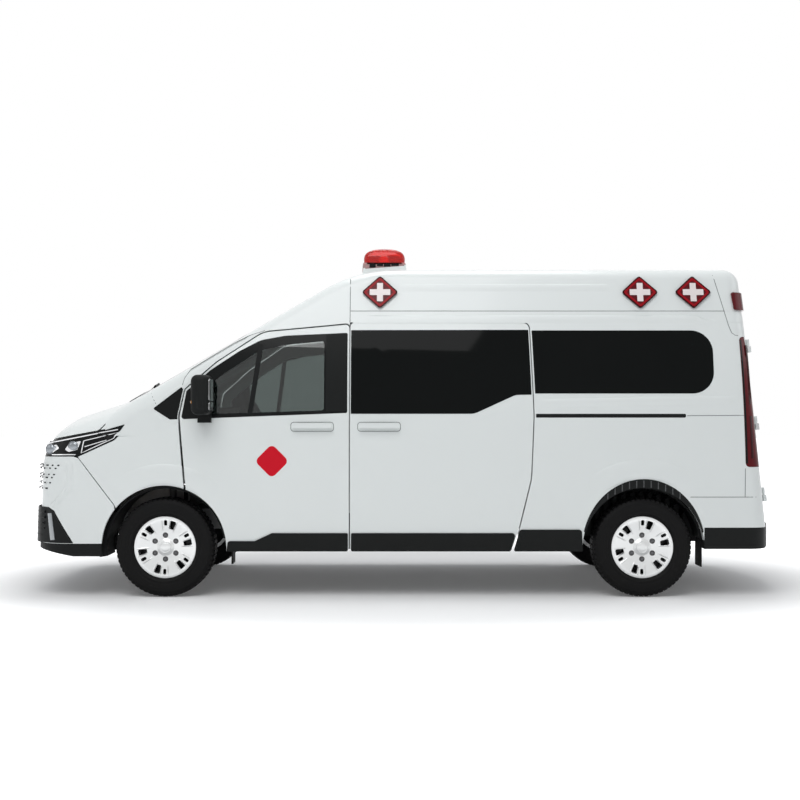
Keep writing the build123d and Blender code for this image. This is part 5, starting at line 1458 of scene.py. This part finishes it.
    def bumper(self, word: str, sign: int) -> None:
        """Adds the bumper's crease, the black pod with its lamp strip and the fins.

        Args:
            word: Name of the side.
            sign: Side of the vehicle, 1 on the left.
        """
        build = bmesh.new()
        crease = [(2.295, 0.962), (2.289, 0.805), (2.301, 0.748), (2.350, 0.690), (2.443, 0.612)]
        ribbon(build, self.skin, View.NOSE, self.along(crease, sign, 0.025), swell(0.036, 0.010, 0.4),
               fade=0.12)
        add_piece(f"bumper_crease_{word}", build, PAINT, "van_body", angle=60)
        build = bmesh.new()
        low, high = self.near(2.268, 0.376, sign), self.near(2.405, 0.598, sign)
        corner = self.near(2.450, 0.622, sign)
        pod = [low, high, corner, (sign * 0.47, 0.616), (sign * 0.50, 0.376)]
        patch(build, self.skin, View.NOSE, pod, 0.0018, 0.03)
        for z in self.pod_slats:
            end = self.near(2.485, z, sign)[0]
            ribbon(build, self.skin, View.NOSE, divided([(sign * 0.50, z), (end, z)], 0.02),
                   swell(0.016, 0.004, 0.3))
        ribbon(build, self.skin, View.NOSE, self.along([(2.292, 0.400), (2.408, 0.588)], sign),
               swell(0.012, 0.006))
        add_piece(f"lamp_pod_{word}", build, SATIN_BLACK, "van_body")
        build = bmesh.new()
        ribbon(build, self.skin, View.NOSE, self.along([(2.440, 0.580), (2.416, 0.396)], sign, 0.02),
               [(-0.013, -0.002), (-0.013, 0.006), (-0.008, 0.010), (0.008, 0.010), (0.013, 0.006),
                (0.013, -0.002)])
        add_piece(f"day_lamp_{word}", build, DAY_LAMP, "van_body", angle=50)

    def bridge(self) -> None:
        """Closes the slot between the headlamps and the strip under the lower grille with black panels."""
        build = bmesh.new()
        low_z, high_z = self.bridge_z
        rings = []
        near, far = self.bridge_depth
        for k in range(self.bridge_steps + 1):
            a = self.bridge_half * (2 * k / self.bridge_steps - 1)
            foot, head = (self.skin.at(View.NOSE, a, z) for z in self.face_z)
            lean = (head - foot) / (self.face_z[1] - self.face_z[0])
            inward = View.NOSE.ray(a, low_z)[1]
            rings.append([foot + lean * (z - self.face_z[0]) + inward * depth
                          for z, depth in ((low_z, near), (high_z, near), (high_z, far), (low_z, far))])
        sweep(build, rings)
        half, foot_z, top_z = self.sill
        patch(build, self.skin, View.NOSE, [(-half, foot_z), (half, foot_z), (half, top_z), (-half, top_z)],
              0.0018, 0.03)
        add_piece("lamp_bridge", build, GLOSS_BLACK, "van_body")

    def marks(self) -> None:
        """Sets the rows of dark slots of the upper grille on the nose."""
        build = bmesh.new()
        for row, (z, start, limit_x) in enumerate(self.mark_rows):
            end = self.skin.round_nose(limit_x, z)
            count = int((end - start) / self.mark_gap)
            for k in range(count + 1):
                a = start + (end - start) * k / max(count, 1)
                size = 0.010 * (1.15 - 0.45 * k / max(count, 1))
                for side in ((1, -1) if a else (1,)):
                    slot = [(side * (a + u * size), z + v * 0.0055) for u, v in ((-1, -0.8), (0.5, -1), (1,
                            0.6), (-0.5, 1))]
                    patch(build, self.skin, View.NOSE, slot, 0.0012, 0.05)
        add_piece("grille_slots", build, SATIN_BLACK, "van_body")

    def screen(self) -> None:
        """Adds the windscreen's black border, wipers and cowl, and the bonnet's creases."""
        build = bmesh.new()
        border = rounded([(1.832, -0.825, 0.05), (1.832, 0.825, 0.05), (1.152, 0.760, 0.09),
                          (1.152, -0.760, 0.09)], 8)
        ribbon(build, self.skin, View.TOP, divided(border + border[:1], 0.05)[:-1], band(0.050, 0.0014),
               closed=True)
        add_piece("windscreen_border", build, GLOSS_BLACK, "van_body")
        build = bmesh.new()
        for low, high in ((-0.74, -0.36), (-0.30, 0.30), (0.36, 0.74)):
            outline = [(1.868, low), (1.936, low), (1.936, high), (1.868, high)]
            patch(build, self.skin, View.TOP, outline, 0.004, 0.04)
        add_piece("cowl_cover", build, TRIM, "van_body")
        build = bmesh.new()
        for start, end in (((1.842, 0.02), (1.772, 0.66)), ((1.842, -0.66), (1.772, -0.05))):
            ribbon(build, self.skin, View.TOP, divided([start, end], 0.04), band(0.016, 0.016))
            ribbon(build, self.skin, View.TOP, divided([(1.895, (start[1] + end[1]) / 2 - 0.2), (1.808,
                    (start[1] + end[1]) / 2)], 0.04),
                   band(0.018, 0.024))
        add_piece("wipers", build, SATIN_BLACK, "van_body")
        build = bmesh.new()
        for sign in (1, -1):
            ribbon(build, self.skin, View.TOP, divided([(2.04, sign * 0.50), (2.46, sign * 0.42)], 0.03),
                   swell(0.07, 0.005), fade=0.3)
        add_piece("bonnet_creases", build, PAINT, "bonnet_lid", angle=60)


@dataclass
class RearEnd:
    """Tail lamp details, high stop lamp, rear door glass, pressed lines, handles and plates at the back."""

    skin: Surface

    def build(self) -> None:
        """Builds the pieces of both sides and the middle."""
        for view, word, sign in SIDES:
            self.lamp(view, word)
            self.door(word, sign)
        build = bmesh.new()
        ribbon(build, self.skin, View.REAR, divided([(-0.16, 2.16), (0.16, 2.16)], 0.04), band(0.030, 0.006))
        add_piece("high_stop_lamp", build, LENS_DEEP, "van_body")

    def lamp(self, view: View, word: str) -> None:
        """Adds the dark edge and the inner strips of a tail lamp.

        Args:
            view: Side of the body.
            word: Name of the side.
        """
        build = bmesh.new()
        ribbon(build, self.skin, view, divided([(-2.345, 1.780), (-2.363, 0.925)], 0.03), band(0.014, 0.0020))
        add_piece(f"tail_lamp_edge_{word}", build, GLOSS_BLACK, "van_body")
        build = bmesh.new()
        for start, end, width in (((-2.392, 1.745), (-2.398, 1.330), 0.020),
                                  ((-2.398, 1.250), (-2.405, 0.960), 0.020)):
            ribbon(build, self.skin, view, divided([start, end], 0.03), band(width, 0.0022))
        add_piece(f"tail_lamp_strips_{word}", build, LENS_DEEP, "van_body")

    def door(self, word: str, sign: int) -> None:
        """Adds window border, handle and the blank plate's panel to a rear door.

        Args:
            word: Name of the side.
            sign: Side of the vehicle, 1 on the left.
        """
        body = f"door_rear_{word}"
        build = bmesh.new()
        pane = rounded([(sign * 0.105, 1.325, 0.05), (sign * 0.705, 1.325, 0.05), (sign * 0.685, 1.835, 0.05),
                        (sign * 0.105, 1.835, 0.05)])
        patch(build, self.skin, View.REAR, pane, 0.0014, 0.06, 0.004)
        add_piece(f"rear_glass_{word}", build, PRIVACY, body)
        build = bmesh.new()
        for z in (0.640, 0.930, 1.270):
            ribbon(build, self.skin, View.REAR, divided([(sign * 0.05, z), (sign * 0.74, z)], 0.04),
                   swell(0.035, 0.005), fade=0.08)
        add_piece(f"rear_pressed_lines_{word}", build, PAINT, body, angle=60)
        build = bmesh.new()
        if sign > 0:
            ribbon(build, self.skin, View.REAR, divided([(0.045, 1.060), (0.225, 1.060)], 0.03),
                   band(0.034, 0.022))
        patch(build, self.skin, View.REAR, rounded([(sign * 0.30, 0.705, 0.01), (sign * 0.72, 0.705, 0.01),
                                                    (sign * 0.72, 0.865, 0.01),
                                                    (sign * 0.30, 0.865, 0.01)]), 0.004, 0.05)
        add_piece(f"rear_handle_{word}", build, SATIN_BLACK, body)
        build = bmesh.new()
        plate = rounded([(sign * 0.325, 0.722, 0.008), (sign * 0.695, 0.722, 0.008),
                         (sign * 0.695, 0.848, 0.008), (sign * 0.325, 0.848, 0.008)])
        patch(build, self.skin, View.REAR, plate, 0.0065, 0.05)
        add_piece(f"blank_plate_{word}", build, WHITE_LENS if sign > 0 else TRIM, body)


@dataclass
class Cab:
    """Padded seats on plinths, dashboard details, steering wheel pad and mirror glass."""

    seat_y: float = 0.42
    voxel: float = 0.010
    swell_cap: float = 0.012
    pressure: float = 4.0
    frames: int = 20
    groove_depth: float = 0.006
    groove_half: float = 0.009
    cushion: list[Corner] = field(default_factory=lambda: [
        (0.595, 0.845, 0.02), (0.925, 0.850, 0.03), (0.948, 0.905, 0.03), (0.930, 0.942, 0.03),
        (0.610, 0.912, 0.03)])
    backrest: list[Corner] = field(default_factory=lambda: [
        (0.470, 0.870, 0.03), (0.592, 0.930, 0.03), (0.560, 1.120, 0.2), (0.522, 1.400, 0.03),
        (0.430, 1.415, 0.03),
        (0.440, 1.150, 0.2)])
    headrest: list[Corner] = field(default_factory=lambda: [
        (0.428, 1.455, 0.03), (0.490, 1.450, 0.03), (0.492, 1.540, 0.03), (0.412, 1.545, 0.03)])

    def build(self) -> None:
        """Builds the cab's pieces."""
        self.seats()
        self.dashboard()
        self.mirrors()

    def seats(self) -> None:
        """Builds one seat and copies it to the other side."""
        cushion = self.stuffed("seat_cushion", self.cushion, 0.225, (0.115,))
        backrest = self.stuffed("seat_backrest", self.backrest, 0.225, (0.120,))
        headrest = self.stuffed("seat_headrest", self.headrest, 0.125, ())
        for _, word, sign in SIDES:
            place = Matrix.Translation((0, sign * self.seat_y, 0))
            for name, mesh in (("cushion", cushion), ("backrest", backrest), ("headrest", headrest)):
                build = bmesh.new()
                build.from_mesh(mesh)
                build.transform(place)
                pad = add_piece(f"seat_{name}_{word}", build, CLOTH, "van_body", angle=70)
                ease = pad.modifiers.new("eased", "SUBSURF")
                ease.levels = ease.render_levels = 1
                if name == "cushion":
                    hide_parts("cab_seats")
            build = bmesh.new()
            block(build, Vector((0.505, -0.215, 0.590)), Vector((0.895, 0.215, 0.620)), place)
            block(build, Vector((0.530, -0.195, 0.620)), Vector((0.880, 0.195, 0.848)), place)
            for y in (-0.055, 0.055):
                tube(build, [place @ Vector((0.452, y, z)) for z in (1.395, 1.43, 1.475)], 0.007)
            plinth = add_piece(f"seat_plinth_{word}", build, CAB_PLASTIC, "van_body")
            rim = plinth.modifiers.new("eased_edges", "BEVEL")
            rim.width, rim.segments = 0.004, 2

    def stuffed(self, name: str, rows: list[Corner], half: float,
                grooves: tuple[float, ...]) -> bpy.types.Mesh:
        """Swells a plain pad under pressure and sews channels into it.

        Args:
            name: Name of the pad.
            rows: Side outline as x, z and corner radius.
            half: Half its width.
            grooves: Distances of the sewn channels from its middle.

        Returns:
            Mesh of the pad, round the middle plane.
        """
        scene = bpy.context.scene
        build = bmesh.new()
        outline = rounded(rows, 6)
        middle = Vector((sum(x for x, _ in outline), 0, sum(z for _, z in outline))) / len(outline)
        stations = ((1.0, 0.80), (0.97, 0.90), (0.90, 0.97), (0.75, 1.0))
        ends = [(-share, size) for share, size in stations] + [(share, size)
                                                               for share, size in reversed(stations)]
        sweep(build, [[middle + (Vector((x, 0, z)) - middle) * size + Vector((0, share * half, 0))
                       for x, z in outline]
                      for share, size in ends])
        bmesh.ops.recalc_face_normals(build, faces=build.faces)
        mesh = bpy.data.meshes.new(name)
        build.to_mesh(mesh)
        build.free()
        pad = bpy.data.objects.new(name, mesh)
        scene.collection.objects.link(pad)
        grid = pad.modifiers.new("grid", "REMESH")
        grid.mode, grid.voxel_size = "VOXEL", self.voxel
        plain = bpy.data.meshes.new_from_object(pad.evaluated_get(bpy.context.evaluated_depsgraph_get()))
        pad.modifiers.remove(grid)
        pad.data = plain
        self.inflate(pad)
        self.sew(plain, grooves)
        bpy.data.objects.remove(pad)
        return plain

    def inflate(self, pad: bpy.types.Object) -> None:
        """Blows a pad up with simulated cloth, with each point's move capped.

        Args:
            pad: Object whose mesh is moved.
        """
        scene = bpy.context.scene
        cloth = pad.modifiers.new("cloth", "CLOTH")
        cloth.settings.use_pressure = True
        cloth.settings.uniform_pressure_force = self.pressure
        cloth.settings.effector_weights.gravity = 0.0
        for number in range(1, self.frames + 1):
            scene.frame_set(number)
        graph = bpy.context.evaluated_depsgraph_get()
        blown = [vertex.co.copy() for vertex in pad.evaluated_get(graph).data.vertices]
        pad.modifiers.remove(cloth)
        scene.frame_set(1)
        for vertex, spot in zip(pad.data.vertices, blown):
            move = spot - vertex.co
            vertex.co += move * min(1.0, self.swell_cap / max(move.length, 1e-9))

    def sew(self, mesh: bpy.types.Mesh, grooves: tuple[float, ...]) -> None:
        """Sinks sewn channels into a pad.

        Args:
            mesh: The pad.
            grooves: Distances of the channels from its middle.
        """
        normals = [vertex.normal.copy() for vertex in mesh.vertices]
        for vertex, normal in zip(mesh.vertices, normals):
            for away in grooves:
                off = (abs(vertex.co.y) - away) / self.groove_half
                vertex.co -= normal * (self.groove_depth * max(0.0,
                                                               1 - off * off) * (1 - normal.y * normal.y))

    def dashboard(self) -> None:
        """Adds vents, instrument hood, screen and the steering wheel's pad."""
        skin = Surface(["dashboard"])
        build = bmesh.new()
        block(build, Vector((1.215, 0.27, 1.235)), Vector((1.330, 0.57, 1.312)))
        block(build, Vector((1.172, -0.150, 1.120)), Vector((1.235, 0.150, 1.238)))
        add_piece("instrument_hood", build, CAB_PLASTIC, "van_body")
        build = bmesh.new()
        for y in (-0.66, -0.25, 0.25, 0.66):
            for k in range(4):
                ribbon(build, skin, View.REAR, divided([(y - 0.07, 1.13 + 0.022 * k),
                                                        (y + 0.07, 1.13 + 0.022 * k)], 0.03),
                                                        band(0.008, 0.006))
        ribbon(build, skin, View.REAR, divided([(-0.72, 1.095), (0.20, 1.095)], 0.05), band(0.010, 0.005))
        add_piece("dash_vents", build, SATIN_BLACK, "van_body")
        build = bmesh.new()
        axis = Vector((0.88, 0, -0.36)).normalized()
        turn = (-axis).to_track_quat("Z", "Y").to_matrix()
        hub = Vector((1.030, 0.42, 1.172))
        rings = []
        for size, depth in ((1.0, 0.004), (1.0, 0.020), (0.9, 0.032), (0.55, 0.040), (0.05, 0.042)):
            rings.append([hub + turn @ Vector((0.078 * size * cos(2 * pi * k / 24),
                                               0.066 * size * sin(2 * pi * k / 24), depth))
                          for k in range(24)])
        sweep(build, rings)
        add_piece("steering_pad", build, SATIN_BLACK, "van_body", angle=45)

    def mirrors(self) -> None:
        """Adds the mirror glass and the turn lamp to each mirror."""
        skin = Surface(["mirror_left", "mirror_right"])
        for _, word, sign in SIDES:
            body = f"door_front_{word}"
            build = bmesh.new()
            for low, high in ((1.288, 1.345), (1.352, 1.500)):
                outline = rounded([(sign * 1.078, low, 0.014), (sign * 1.222, low, 0.014),
                                   (sign * 1.222, high, 0.014),
                                   (sign * 1.078, high, 0.014)])
                patch(build, skin, View.REAR, outline, 0.0020, 0.05)
            add_piece(f"mirror_glass_{word}", build, CHROME, body)
            build = bmesh.new()
            ribbon(build, skin, View.FRONT, divided([(sign * 1.10, 1.345), (sign * 1.225, 1.345)], 0.02),
                   band(0.022, 0.004))
            add_piece(f"turn_lamp_{word}", build, TURN_LAMP, body)


def main() -> None:
    """Builds the sub-assemblies in order."""
    logging.basicConfig(level=logging.INFO, format="%(message)s")
    Stage().build()
    Panels().build()
    skin = Surface(SKIN_NODES)
    SideTrim(skin, Flank(["sliding_doors", "cant_rails", "roof_panel"])).build()
    RoofLamps(skin, Surface(["cross_lamps", "roof_panel"])).build()
    Wheels().build()
    FrontEnd(skin).build()
    RearEnd(skin).build()
    Cab().build()


if __name__ == "__main__":
    main()
